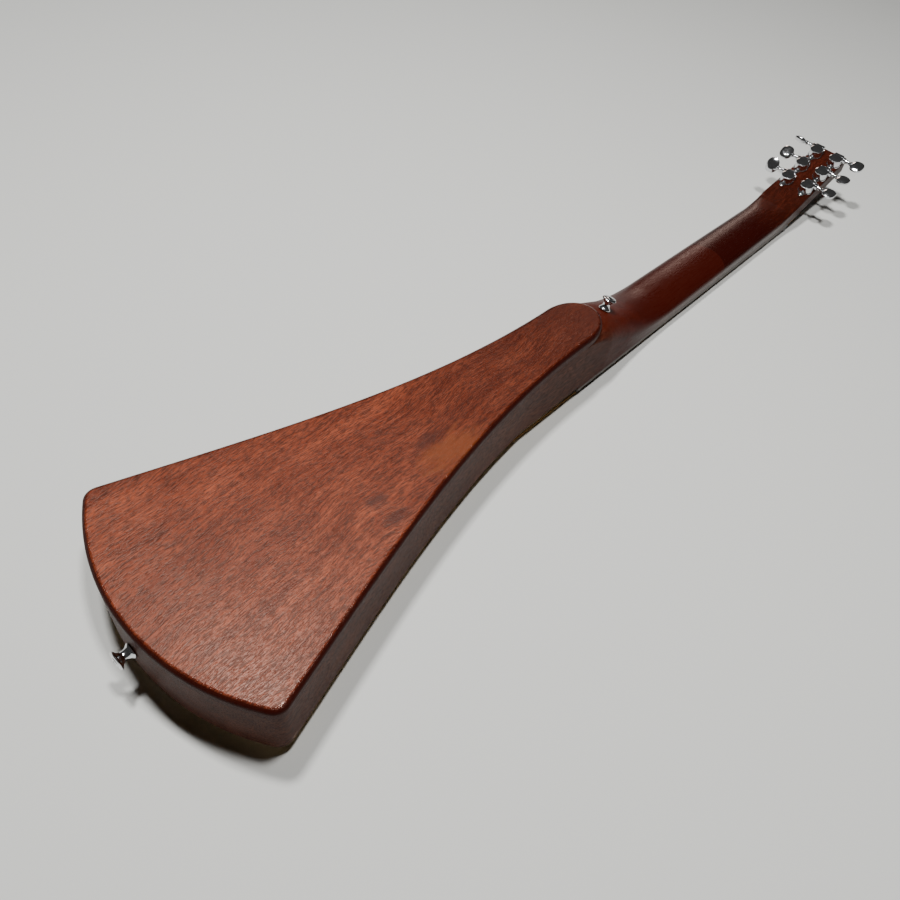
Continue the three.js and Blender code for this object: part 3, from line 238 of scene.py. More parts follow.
class GuitarFinishes(bpy.types.PropertyGroup):
    back_light: colour("Back, light", "Light fibres of the back", (0.190, 0.042, 0.018))
    back_dark: colour("Back, dark", "Dark fibres of the back", (0.082, 0.015, 0.0065))
    back_front: colour("Back, front", "The back's redder tone towards its tongue", (0.030, 0.0028, 0.0010))
    # Painted shade on the back's rounded edge, where it turns away from the light
    back_edge_shade: colour("Back, edge", "Painted shade darkening the back's rounded edge", (0.024, 0.0022, 0.0011))
    back_side: colour("Back, side", "The back's narrow side under its rounded edge", (0.050, 0.014, 0.009))
    side_light: colour("Sides, light", "Light fibres of the sides and heel", (0.082, 0.029, 0.017))
    side_dark: colour("Sides, dark", "Dark fibres of the sides and heel", (0.043, 0.014, 0.0080))
    neck_tone: colour("Neck", "The neck's darker red tone", (0.033, 0.0019, 0.0006))
    heel_tone: colour("Heel", "Redder tone on the heel's slope", (0.064, 0.0066, 0.0022))
    neck_upper: colour("Upper neck", "The upper neck's tone past its slanted joint", (0.021, 0.0013, 0.0005))
    head_light: colour("Headstock, light", "Light fibres of the headstock", (0.048, 0.0085, 0.0040))
    head_dark: colour("Headstock, dark", "Dark fibres of the headstock", (0.022, 0.0032, 0.0014))
    amber: colour("Amber", "Warm patch on the back", (0.165, 0.040, 0.012))
    mottle: colour("Mottle", "Dark patches on the back", (0.040, 0.010, 0.008))
    pores: colour("Pores", "Open pores of the reddish wood", (0.055, 0.008, 0.003))
    spruce: colour("Soundboard", "Pale straight-grained wood", (0.54, 0.39, 0.23))
    ebony: colour("Dark wood", "Fingerboard and bridge", (0.016, 0.012, 0.010))
    bone: colour("Bone", "Saddle and the pins' dots", (0.80, 0.74, 0.60))
    plating: colour("Plating", "Bright plating of the fittings", (0.74, 0.75, 0.77))
    bronze: colour("Bronze", "Winding of the thick strings", (0.55, 0.33, 0.13))


class GuitarStageSizes(bpy.types.PropertyGroup):
    floor_colour: colour("Floor", "Pale plain floor", (0.66, 0.66, 0.63))
    floor_size: length("Floor size", "Width of the floor", 9.0)
    lens: bpy.props.FloatProperty(name="Lens", description="Focal length in millimetres", default=32.0)


# Small helpers


def at(x, y, z):
    """A place measured from the tail's middle on the plane of the strings."""
    return Vector((TAIL_X + x, y, STRING_PLANE + z))


def shift(x, y, z):
    return Matrix.Translation((x, y, z))


def lerp(a, b, share):
    return a + (b - a) * share


def smooth_step(share):
    share = min(1.0, max(0.0, share))
    return share * share * (3 - 2 * share)


def arc(radius, start, end, steps, centre=(0.0, 0.0), first=0):
    """Points of an arc in equal steps, from its first one or a later one."""
    turns = [lerp(start, end, k / steps) for k in range(first, steps + 1)]
    return [(centre[0] + radius * math.cos(a), centre[1] + radius * math.sin(a)) for a in turns]


def ring_of(radius, count):
    """Points all round a circle, without the last one that would double the first."""
    turns = (2 * math.pi * k / count for k in range(count))
    return [(radius * math.cos(a), radius * math.sin(a)) for a in turns]


def rectangle(x0, y0, x1, y1):
    return [(x0, y0), (x1, y0), (x1, y1), (x0, y1)]


def read_table(places, values, place):
    """Reads a curve through a table of values, with no overshoot between equal ones."""
    slopes = np.gradient(values, places)
    for k in range(len(values)):
        before = values[k] - values[max(k - 1, 0)]
        after = values[min(k + 1, len(values) - 1)] - values[k]
        if before * after <= 0:
            slopes[k] = 0
    place = min(max(place, places[0]), places[-1])
    k = min(int(np.searchsorted(places, place, side="right")) - 1, len(places) - 2)
    span = places[k + 1] - places[k]
    t = (place - places[k]) / span
    return (
        (2 * t**3 - 3 * t**2 + 1) * values[k]
        + (t**3 - 2 * t**2 + t) * span * slopes[k]
        + (3 * t**2 - 2 * t**3) * values[k + 1]
        + (t**3 - t**2) * span * slopes[k + 1]
    )


def deselect():
    bpy.ops.object.select_all(action="DESELECT")


def only(piece):
    deselect()
    piece.select_set(True)
    bpy.context.view_layer.objects.active = piece


def named(name):
    piece = bpy.context.object
    piece.name = name
    piece.data.name = name
    return piece


def cylinder(name, sides, radius, depth, place=(0, 0, 0)):
    deselect()
    bpy.ops.mesh.primitive_cylinder_add(vertices=sides, radius=radius, depth=depth, location=place)
    return named(name)


def close_up(piece, join=1e-7):
    """Merges doubled points and turns every face outwards."""
    only(piece)
    bpy.ops.object.mode_set(mode="EDIT")
    bpy.ops.mesh.select_all(action="SELECT")
    bpy.ops.mesh.remove_doubles(threshold=join)
    bpy.ops.mesh.normals_make_consistent(inside=False)
    bpy.ops.object.mode_set(mode="OBJECT")


def station_of(turn, count):
    """The number of a point on a ring, from the direction that it lies in."""
    return round(turn % (2 * math.pi) / (2 * math.pi / count)) % count


def skinned(name, rings):
    """Adds a cylinder, cuts it into stations and moves each station's points to its ring."""
    count, stations = len(rings[0]), len(rings)
    piece = cylinder(name, count, 1, stations - 1)
    bpy.ops.object.mode_set(mode="EDIT")
    select_where(piece, "EDGE", lambda edge: abs(edge.verts[0].co.z - edge.verts[1].co.z) > 0.5)
    if stations > 2:
        bpy.ops.mesh.subdivide(number_cuts=stations - 2)
    bpy.ops.object.mode_set(mode="OBJECT")
    for vertex in piece.data.vertices:
        station = round(vertex.co.z + (stations - 1) / 2)
        turn = math.atan2(vertex.co.y, vertex.co.x) - math.pi / 2
        vertex.co = rings[station][station_of(turn, count)]
    close_up(piece)
    return piece


def turned(name, profile, segments=48):
    """A turned piece about Z, from its profile of (radius, height) pairs."""
    return skinned(name, [
        [Vector((x, y, height)) for x, y in ring_of(radius, segments)] for radius, height in profile
    ])


def turned_ring(name, profile, segments=48):
    """A turned piece with a bore, from its closed profile of (radius, height) pairs."""
    deselect()
    bpy.ops.mesh.primitive_torus_add(
        major_segments=segments, minor_segments=len(profile), major_radius=1, minor_radius=0.25
    )
    piece = named(name)
    for vertex in piece.data.vertices:
        major = math.atan2(vertex.co.y, vertex.co.x)
        minor = math.atan2(vertex.co.z, math.hypot(vertex.co.x, vertex.co.y) - 1)
        radius, height = profile[station_of(minor, len(profile))]
        vertex.co = (radius * math.cos(major), radius * math.sin(major), height)
    close_up(piece)
    return piece


def board(name, outline, bottom, top):
    """A flat board: a filled circle whose points move to the outline, extruded upwards."""
    count = len(outline)
    deselect()
    bpy.ops.mesh.primitive_circle_add(vertices=count, radius=1, fill_type="NGON", location=(0, 0, 0))
    piece = named(name)
    for vertex in piece.data.vertices:
        turn = math.atan2(vertex.co.y, vertex.co.x) - math.pi / 2
        x, y = outline[station_of(turn, count)]
        vertex.co = at(x, y, bottom)
    bpy.ops.object.mode_set(mode="EDIT")
    bpy.ops.mesh.select_all(action="SELECT")
    bpy.ops.mesh.extrude_region_move(TRANSFORM_OT_translate={"value": (0, 0, top - bottom)})
    bpy.ops.mesh.select_all(action="SELECT")
    bpy.ops.mesh.normals_make_consistent(inside=False)
    bpy.ops.object.mode_set(mode="OBJECT")
    return piece


def loose_board(name, outline, bottom, top):
    """A board at the origin, for a model that is copied to its places."""
    piece = board(name, outline, bottom, top)
    piece.data.transform(Matrix.Translation(-at(0, 0, 0)))
    return piece


def select_where(piece, kind, test):
    """In edit mode, selects the faces or edges that pass the test."""
    bpy.ops.mesh.select_all(action="DESELECT")
    bpy.ops.mesh.select_mode(type=kind)
    mesh = bmesh.from_edit_mesh(piece.data)
    for part in mesh.faces if kind == "FACE" else mesh.edges:
        part.select_set(bool(test(part)))
    bmesh.update_edit_mesh(piece.data)


def bevel_edges(piece, test, offset, segments):
    only(piece)
    bpy.ops.object.mode_set(mode="EDIT")
    select_where(piece, "EDGE", test)
    bpy.ops.mesh.bevel(offset=offset, offset_type="OFFSET", segments=segments, profile=0.5, affect="EDGES")
    bpy.ops.object.mode_set(mode="OBJECT")


def bevel_level(piece, level, offset, segments):
    """Rounds the edges that lie at one height."""
    bevel_edges(
        piece, lambda edge: all(abs(v.co.z - level) < LEVEL_TOLERANCE for v in edge.verts), offset, segments
    )


def cut_out(piece, tool):
    """Cuts the tool's shape out of the piece, and removes the tool."""
    only(piece)
    cutter = piece.modifiers.new("cut", "BOOLEAN")
    cutter.operation = "DIFFERENCE"
    cutter.object = tool
    cutter.solver = "EXACT"
    bpy.ops.object.modifier_apply(modifier=cutter.name)
    remove(tool)


def remove(*pieces):
    for piece in pieces:
        bpy.data.objects.remove(piece, do_unlink=True)


def joined(name, pieces):
    only(pieces[0])
    for piece in pieces:
        piece.select_set(True)
    bpy.ops.object.join()
    return named(name)


def moved(piece, matrix):
    """Moves a piece by a matrix and applies it, so that its place is in its mesh."""
    only(piece)
    piece.matrix_world = matrix
    bpy.ops.object.transform_apply(location=True, rotation=True, scale=True)
    if matrix.determinant() < 0:
        close_up(piece)
    return piece


def copied(piece, name, matrix):
    only(piece)
    bpy.ops.object.duplicate(linked=False)
    return moved(named(name), matrix)


def done(piece, body, slot, finish, *nodes, degrees=32):
    """Smooths a piece, gives it its finish, and says what it rides on and replaces."""
    only(piece)
    bpy.ops.object.shade_smooth_by_angle(angle=math.radians(degrees))
    if finish is not None:
        piece.data.materials.clear()
        piece.data.materials.append(finish)
    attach(piece, body)
    if nodes:
        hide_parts(*nodes)


def finished(node, finish):
    """Gives a measured solid its finish."""
    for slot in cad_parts[node].material_slots:
        slot.material = finish


def tube_rings(points, radius, sides):
    """Rings of a round tube along a row of points, without twist."""
    side = Vector((0, 1, 0))
    rings = []
    for k, point in enumerate(points):
        along = (points[min(k + 1, len(points) - 1)] - points[max(k - 1, 0)]).normalized()
        side = (side - along * side.dot(along)).normalized()
        up = along.cross(side)
        rings.append([point + side * x + up * y for x, y in ring_of(radius, sides)])
    return rings


# The guitar's lines


def half_outline(body, neck):
    """The treble half of the back's outline, from the tail's middle to the tongue's tip."""
    reach = body.tail_radius - body.corner_radius
    corner_y = body.tail_half_width - body.corner_radius
    corner_x = body.tail_radius - math.sqrt(reach**2 - corner_y**2)
    meet = math.atan2(corner_y, corner_x - body.tail_radius)
    waist_x = front_x(neck) + body.tongue_length - body.tongue_round
    points = arc(body.tail_radius, math.pi, meet, 40, (body.tail_radius, 0.0))
    points += arc(body.corner_radius, meet, math.pi / 2 - body.flare, 16, (corner_x, corner_y), first=1)
    x0, y0 = points[-1]
    run = waist_x - x0
    near, far = SIDE_REACH_SHARES
    handles = (
        (x0, y0), (x0 + run * near, y0 - run * near * math.tan(body.flare)),
        (x0 + run * far, body.waist_half_width), (waist_x, body.waist_half_width),
    )
    steps = 72
    for k in range(1, steps + 1):
        t = k / steps
        shares = ((1 - t)**3, 3 * t * (1 - t)**2, 3 * t * t * (1 - t), t**3)
        points.append(tuple(sum(s * h[axis] for s, h in zip(shares, handles)) for axis in (0, 1)))
    for across, along in arc(1.0, 0.0, math.pi / 2, 28, first=1):
        points.append((waist_x + body.tongue_round * along, body.waist_half_width * across))
    return points


def fret_x(neck, number):
    return neck.saddle_from_tail + neck.scale_length * 2 ** (-number / 12)


def front_x(neck):
    return fret_x(neck, neck.frets) - neck.past_last_fret


def nut_x(neck):
    return fret_x(neck, 0)


def head_start(neck):
    return nut_x(neck) + neck.nut_thickness + NUT_GAP


def plan_half(body, neck, x):
    """Half the back's width at a place along the body."""
    points = half_outline(body, neck)
    widest = max(range(len(points)), key=lambda k: points[k][1])
    xs, ys = zip(*points[widest:])
    return float(np.interp(x, xs, ys))


def neck_half(neck, x):
    share = (nut_x(neck) - x) / (nut_x(neck) - fret_x(neck, 12))
    return lerp(neck.half_width_nut, neck.half_width_twelfth, share)


def whole(points):
    """Mirrors a treble half outline, so that it runs anticlockwise round the guitar."""
    bass = [(x, -y) for x, y in points[1:]]
    treble = [(x, y) for x, y in reversed(points[1:]) if y > 1e-6]
    return [points[0]] + bass + treble


def cut_half(points, end, end_half):
    """A half outline that stops at a place along the body."""
    least_step = 0.0004
    return [p for p in points if p[0] < end - least_step] + [(end, end_half)]


def head_place(neck, along, across, up):
    """A place on the headstock: along it from the nut, across, and up from its face."""
    c, s = math.cos(neck.head_tilt), math.sin(neck.head_tilt)
    return at(head_start(neck) + along * c - up * s, across, neck.face + along * s + up * c)


def neck_ring(x, lower, upper, face, side, ridge, boxy, lean=0.0, origin=0.0):
    """One section of heel or neck: a flat face, straight sides and a rounded ridge."""
    points = [(lower, face)]
    for k in range(RIDGE_STEPS + 1):
        a = math.pi * k / RIDGE_STEPS
        across = math.copysign(abs(math.cos(a)) ** boxy, math.cos(a)) if k * 2 != RIDGE_STEPS else 0.0
        points.append((upper * across, lerp(side, ridge, abs(math.sin(a)) ** boxy)))
    points.append((-lower, face))
    return [at(x + (z - origin) * lean, y, z) for y, z in points]


def plain_neck_ring(neck, x, lean=0.0):
    """A section of the plain neck between heel and nut."""
    end = front_x(neck) + neck.heel_length
    share = (x - end) / (nut_x(neck) - end)
    half = neck_half(neck, x)
    side = neck.face + lerp(neck.side_heel, neck.side_nut, share)
    ridge = neck.face + lerp(neck.ridge_heel, neck.ridge_nut, share)
    return neck_ring(x, half, half, neck.face, side, ridge, 1, lean, neck.face)


def board_face(neck, x):
    """Height of the fingerboard's face, which drops away from the strings towards the body."""
    share = (nut_x(neck) - x) / (nut_x(neck) - front_x(neck))
    return lerp(ACTION_AT_NUT, ACTION_AT_BODY, share) + FRET_HEIGHT + STRING_DIAMETERS[-1]


def string_y(number, spread):
    return spread * (0.5 - (number - 1) / 5)


# Finishes


def made_once(store, name):
    """Wraps a function that makes a material or a group, so that it is made only once."""
    def wrap(make):
        def get():
            return getattr(bpy.data, store).get(name) or make(name)
        return get
    return wrap


class Wiring:
    """Adds nodes to a tree and links them as they are made."""

    def __init__(self, tree):
        self.tree = tree

    def node(self, kind, values=None, **settings):
        made = self.tree.nodes.new(kind)
        for key, value in settings.items():
            setattr(made, key, value)
        for key, value in (values or {}).items():
            self.put(made.inputs[key], value)
        return made

    def put(self, socket, value):
        if isinstance(value, bpy.types.NodeSocket):
            self.tree.links.new(value, socket)
        elif socket.type == "RGBA":
            socket.default_value = (*value[:3], 1.0)
        else:
            socket.default_value = value

    def stretched(self, vector, scale, turn=0.0):
        values = {"Vector": vector, "Rotation": (0, 0, turn), "Scale": scale}
        return self.node("ShaderNodeMapping", values).outputs["Vector"]

    def noise(self, vector, scale, detail=2.0, rough=0.5, warp=0.0):
        values = {"Vector": vector, "Scale": scale, "Detail": detail, "Roughness": rough, "Distortion": warp}
        return self.node("ShaderNodeTexNoise", values).outputs["Fac"]

    def fibre_noise(self, vector, scale, detail=2.0, rough=0.5, warp=0.0):
        return self.noise(self.stretched(vector, scale), 1.0, detail, rough, warp)

    def ramp(self, value, low, high, start=0.0, end=1.0):
        values = {"Value": value, "From Min": low, "From Max": high, "To Min": start, "To Max": end}
        return self.node("ShaderNodeMapRange", values, clamp=True).outputs["Result"]

    def maths(self, operation, *values):
        return self.node("ShaderNodeMath", dict(enumerate(values)), operation=operation).outputs["Value"]

    def vectors(self, operation, *values, output="Vector"):
        made = self.node("ShaderNodeVectorMath", dict(enumerate(values)), operation=operation)
        return made.outputs[output]

    def mix(self, share, a, b, blend="MIX"):
        values = {"Factor": share, 6: a, 7: b}
        return self.node("ShaderNodeMix", values, data_type="RGBA", blend_type=blend).outputs[2]

    def grouped(self, group, values):
        return self.node("ShaderNodeGroup", values, node_tree=group).outputs

    def bump(self, height, strength, distance):
        values = {"Strength": strength, "Distance": distance, "Height": height}
        return self.node("ShaderNodeBump", values).outputs["Normal"]


def new_group(name, colours, values):
    """Starts a group of nodes that turns a place into a colour, a roughness and a height."""
    group = bpy.data.node_groups.new(name, "ShaderNodeTree")
    group.interface.new_socket(name="Vector", in_out="INPUT", socket_type="NodeSocketVector")
    for key in colours:
        group.interface.new_socket(name=key, in_out="INPUT", socket_type="NodeSocketColor")
    for key, value in values.items():
        made = group.interface.new_socket(name=key, in_out="INPUT", socket_type="NodeSocketFloat")
        made.default_value = value
    for key, kind in (("Color", "Color"), ("Roughness", "Float"), ("Height", "Float")):
        group.interface.new_socket(name=key, in_out="OUTPUT", socket_type=f"NodeSocket{kind}")
    given = group.nodes.new("NodeGroupInput").outputs
    return group, Wiring(group), given, group.nodes.new("NodeGroupOutput").inputs


@made_once("node_groups", "open_grain")
def open_grain_group(name):
    """Reddish wood with streaked fibres, broad figure and short open pores along X, and lightened strokes
    that are partly painted glints.
    """
    group, w, given, out = new_group(
        name, ("Light", "Dark", "Pores"), {"Pore Amount": 0.6, "Figure": 0.5, "Sheen": 0.4}
    )
    place = given["Vector"]
    sway = w.node("ShaderNodeTexNoise", {"Vector": place, "Scale": 14.0, "Detail": 1.0, "Roughness": 0.5})
    swayed = w.vectors("MULTIPLY_ADD", sway.outputs["Color"], (0.0, 0.016, 0.006), place)
    fibres = w.fibre_noise(swayed, (40, 400, 400), 3.0, 0.6, 0.4)
    streaks = w.fibre_noise(swayed, (9, 80, 80), 3.0, 0.55, 0.6)
    figure = w.fibre_noise(swayed, (15, 26, 26), 3.0, 0.55, 1.2)
    strokes = w.fibre_noise(swayed, (200, 1300, 1300), 1.0, 0.5, 0.4)
    finer = w.fibre_noise(swayed, (480, 2500, 2500), 1.0, 0.5, 0.3)
    tone = w.maths("ADD", w.maths("MULTIPLY", fibres, 0.55), w.maths("MULTIPLY", streaks, 0.45))
    base = w.mix(w.ramp(tone, 0.40, 0.60), given["Dark"], given["Light"])
    shade = w.maths("MULTIPLY", w.ramp(figure, 0.35, 0.65, 1.0, 0.0), given["Figure"])
    shaded = w.mix(shade, base, given["Dark"])
    # Light and dark strokes of the grain; the lightened strokes are partly painted glints of the sheen
    lifted = w.mix(1.0, shaded, w.ramp(strokes, 0.36, 0.64, 1.75, 0.62), "MULTIPLY")
    long_pores = w.ramp(strokes, 0.52, 0.66, 0.0, 0.8)
    short_pores = w.ramp(finer, 0.52, 0.68)
    pores = w.maths("MAXIMUM", long_pores, w.maths("MULTIPLY", short_pores, 0.75))
    amount = w.maths("MULTIPLY", pores, given["Pore Amount"])
    w.put(out["Color"], w.mix(amount, lifted, given["Pores"]))
    rough = w.maths("ADD", given["Sheen"], w.maths("MULTIPLY", amount, 0.25))
    w.put(out["Roughness"], w.maths("ADD", rough, w.ramp(fibres, 0.3, 0.7, -0.04, 0.04)))
    w.put(out["Height"], w.maths("SUBTRACT", w.maths("MULTIPLY", fibres, 0.3), amount))
    return group


@made_once("node_groups", "fine_grain")
def fine_grain_group(name):
    """Straight even grain: narrow dark lines across Y, with light flecks."""
    group, w, given, out = new_group(name, ("Colour", "Lines"), {"Line Amount": 0.5, "Sheen": 0.45})
    place = given["Vector"]
    lines = w.fibre_noise(place, (2.0, 520, 60), 2.0, 0.55, 0.15)
    flecks = w.fibre_noise(place, (260, 900, 260), 1.0, 0.5)
    tone = w.fibre_noise(place, (5, 18, 18), 2.0)
    amount = w.maths("MULTIPLY", w.ramp(lines, 0.5, 0.66), given["Line Amount"])
    grained = w.mix(amount, given["Colour"], given["Lines"])
    varied = w.mix(w.ramp(tone, 0.35, 0.65, 0.0, 0.16), grained, given["Lines"])
    w.put(out["Color"], w.mix(w.ramp(flecks, 0.62, 0.74, 0.0, 0.12), varied, given["Lines"]))
    w.put(out["Roughness"], w.maths("ADD", given["Sheen"], w.ramp(flecks, 0.3, 0.7, -0.04, 0.06)))
    w.put(out["Height"], w.maths("SUBTRACT", 0.0, amount))
    return group


@made_once("node_groups", "handled")
def handled_group(name):
    """Faint smudges and hairlines that break up the gloss of a handled surface."""
    group, w, given, out = new_group(
        name, ("Colour", "Tarnish"), {"Amount": 0.2, "Sheen": 0.1, "Spread": 0.12}
    )
    smudge = w.noise(given["Vector"], 260.0, 3.0, 0.6, 0.4)
    mask = w.maths("MULTIPLY", w.ramp(smudge, 0.42, 0.7), given["Amount"])
    w.put(out["Color"], w.mix(mask, given["Colour"], given["Tarnish"]))
    rough = w.maths("MULTIPLY", w.ramp(smudge, 0.4, 0.75), given["Spread"])
    w.put(out["Roughness"], w.maths("ADD", given["Sheen"], rough))
    w.put(out["Height"], w.fibre_noise(given["Vector"], (2600, 400, 900), 2.0, 0.6))
    return group


def new_material(name, metallic=0.0, coat=0.0, coat_roughness=0.2, specular=0.5):
    made = bpy.data.materials.new(name)
    made.use_nodes = True
    made.node_tree.nodes.clear()
    w = Wiring(made.node_tree)
    shader = w.node("ShaderNodeBsdfPrincipled", {
        "Metallic": metallic, "Coat Weight": coat, "Coat Roughness": coat_roughness,
        "Specular IOR Level": specular,
    })
    w.node("ShaderNodeOutputMaterial", {"Surface": shader.outputs["BSDF"]})
    place = w.node("ShaderNodeTexCoord").outputs["Object"]
    return made, w, shader.inputs, place


def surface(name, group, values, bump, distance, **settings):
    """A material whose colour, roughness and relief come straight from a group of nodes."""
    made, w, shader, place = new_material(name, **settings)
    given = w.grouped(group, {"Vector": place, **values})
    w.put(shader["Base Color"], given["Color"])
    w.put(shader["Roughness"], given["Roughness"])
    w.put(shader["Normal"], w.bump(given["Height"], bump, distance))
    return made


def patch(w, place, centre, size, soft=0.4):
    """A mask that is one round a place and fades out, with an uneven rim."""
    ragged = w.fibre_noise(place, (60, 150, 150), 3.0, 0.6, 0.5)
    scaled = w.vectors("DIVIDE", w.vectors("SUBTRACT", place, centre), (*size, 1.0))
    distance = w.vectors("LENGTH", scaled, output="Value")
    uneven = w.maths("ADD", distance, w.ramp(ragged, 0.3, 0.7, -0.45, 0.45))
    return w.ramp(uneven, 1.0 + soft, 1.0 - soft)


def red_wood(
    name, light, dark, pore_amount, figure, sheen, turn=0.0, gloss=0.3,
    far=None, far_gloss=None, edge=None, spots=(), bump=0.6,
):
    """A reddish wood. Its tone may change along X and in patches, and its rounded edge is darkened with
    painted shade.
    """
    made, w, shader, place = new_material(name, specular=gloss)
    w.put(shader["Specular Tint"], (1.0, 0.72, 0.60))
    grain = w.grouped(open_grain_group(), {
        "Vector": w.stretched(place, (1, 1, 1), turn), "Light": light, "Dark": dark,
        "Pores": bpy.context.scene.guitar_finishes.pores,
        "Pore Amount": pore_amount, "Figure": figure, "Sheen": sheen,
    })
    tone, rough = grain["Color"], grain["Roughness"]
    parts = w.node("ShaderNodeSeparateXYZ", {"Vector": place}).outputs
    if far:
        start, end, share, colour_far = far
        along = w.ramp(parts["X"], at(start, 0, 0).x, at(end, 0, 0).x)
        tone = w.mix(w.maths("MULTIPLY", along, share), tone, colour_far)
    if far_gloss:
        start, end, gloss_end = far_gloss
        shining = w.ramp(parts["X"], at(start, 0, 0).x, at(end, 0, 0).x)
        w.put(shader["Specular IOR Level"], w.ramp(shining, 0.0, 1.0, gloss, gloss_end))
        rough = w.maths("SUBTRACT", rough, w.maths("MULTIPLY", shining, 0.14))
    for centre, size, share, colour_spot in spots:
        mask = w.maths("MULTIPLY", patch(w, place, at(*centre), size), share)
        tone = w.mix(mask, tone, colour_spot)
    if edge:
        level, turn_end, edge_shade_colour, colour_below = edge
        height = parts["Z"]
        # Painted shade: the tone darkens over the rounded edge as it turns down from the flat top, then
        # takes the narrow side's colour
        mask = w.ramp(height, level, lerp(level, turn_end, 0.16))
        tone = w.mix(w.maths("MULTIPLY", mask, 0.95), tone, edge_shade_colour)
        tone = w.mix(w.ramp(height, lerp(level, turn_end, 0.7), turn_end), tone, colour_below)
        turning = w.ramp(height, level, lerp(level, turn_end, 0.015))
        fading = w.ramp(height, lerp(level, turn_end, 0.35), lerp(level, turn_end, 0.05))
        polish = w.maths("MULTIPLY", w.maths("MULTIPLY", turning, fading), 0.2)
        rough = w.maths("SUBTRACT", rough, polish)
        w.put(shader["Specular IOR Level"], w.ramp(fading, 0.0, 1.0, 0.05, gloss))
    w.put(shader["Base Color"], tone)
    w.put(shader["Roughness"], rough)
    w.put(shader["Normal"], w.bump(grain["Height"], bump, 0.0003))
    return made


def handled_finish(name, tone, tarnish, amount, sheen, spread, **settings):
    return surface(name, handled_group(), {
        "Colour": tone, "Tarnish": tarnish, "Amount": amount, "Sheen": sheen, "Spread": spread,
    }, 0.05, 0.00005, **settings)


def grained_finish(name, tone, lines, amount, sheen, bump, **settings):
    return surface(name, fine_grain_group(), {
        "Colour": tone, "Lines": lines, "Line Amount": amount, "Sheen": sheen,
    }, bump, 0.0001, **settings)


@made_once("materials", "bright_plating")
def plating(name):
    tone = bpy.context.scene.guitar_finishes.plating
    return handled_finish(name, tone, (0.45, 0.43, 0.42), 0.25, 0.09, 0.14, metallic=1.0)


@made_once("materials", "side_wood")
def sides_finish(name):
    f = bpy.context.scene.guitar_finishes
    return red_wood(
        name, f.side_light, f.side_dark, pore_amount=0.3, figure=0.5, sheen=0.42, gloss=0.05,
        far=(0.375, 0.45, 0.93, f.neck_tone), far_gloss=(0.44, 0.50, 0.20), bump=0.3,
        spots=(((0.432, 0.0, 0.045), (0.032, 0.022), 0.65, f.heel_tone),),
    )


@made_once("materials", "dark_wood")
def dark_wood(name):
    tone = bpy.context.scene.guitar_finishes.ebony
    return grained_finish(name, tone, (0.035, 0.022, 0.015), 0.7, 0.42, 0.2, specular=0.28)


@made_once("materials", "bone")
def bone_finish(name):
    tone = bpy.context.scene.guitar_finishes.bone
    return handled_finish(name, tone, (0.55, 0.46, 0.31), 0.35, 0.3, 0.12, coat=0.2)


# The operators, one for each piece or group of like pieces


class Maker:
    """What every operator here shares: it makes its pieces from the scene's sizes."""

    def execute(self, context):
        self.make(context.scene)
        return {"FINISHED"}


class GUITAR_OT_back(Maker, bpy.types.Operator):
    """Adds the back board with its rounded edge and its tongue over the heel"""

    bl_idname = "guitar.add_back"
    bl_label = "Back"

    def make(self, scene):
        body, neck, f = scene.guitar_body, scene.guitar_neck, scene.guitar_finishes
        top = body.soundboard_face + body.depth
        piece = board("back_board", whole(half_outline(body, neck)), top - body.back_thickness, top)
        level = STRING_PLANE + top
        bevel_level(piece, level, body.edge_radius, 10)
        bpy.ops.object.mode_set(mode="EDIT")
        select_where(piece, "FACE", lambda face: face.normal.z < -0.9 and face.calc_area() > 1e-3)
        bpy.ops.mesh.inset(thickness=TRAY_INSET, depth=0)
        bpy.ops.mesh.extrude_region_move(TRANSFORM_OT_translate={"value": (0, 0, TRAY_DEPTH)})
        bpy.ops.object.mode_set(mode="OBJECT")
        spots = (
            ((0.222, -0.030, top), (0.024, 0.012), 0.75, f.amber),
            ((0.215, -0.013, top), (0.013, 0.0045), 0.6, f.mottle),
            ((0.1555, -0.0275, top), (0.0075, 0.0045), 0.8, f.mottle),
            ((0.1560, -0.0440, top), (0.0085, 0.0035), 0.7, f.mottle),
        )
        wood = red_wood(
            "back_wood", f.back_light, f.back_dark, pore_amount=0.45, figure=0.6, sheen=0.37,
            turn=math.radians(-4), gloss=0.38, far=(0.16, 0.37, 0.72, f.back_front), spots=spots,
            # The edge gets painted shade over its rounding, then the narrow side's colour below
            edge=(level - 0.000004, level - body.edge_radius, f.back_edge_shade, f.back_side),
        )
        done(piece, "guitar", "back_wood", wood, "back_plate", degrees=30)


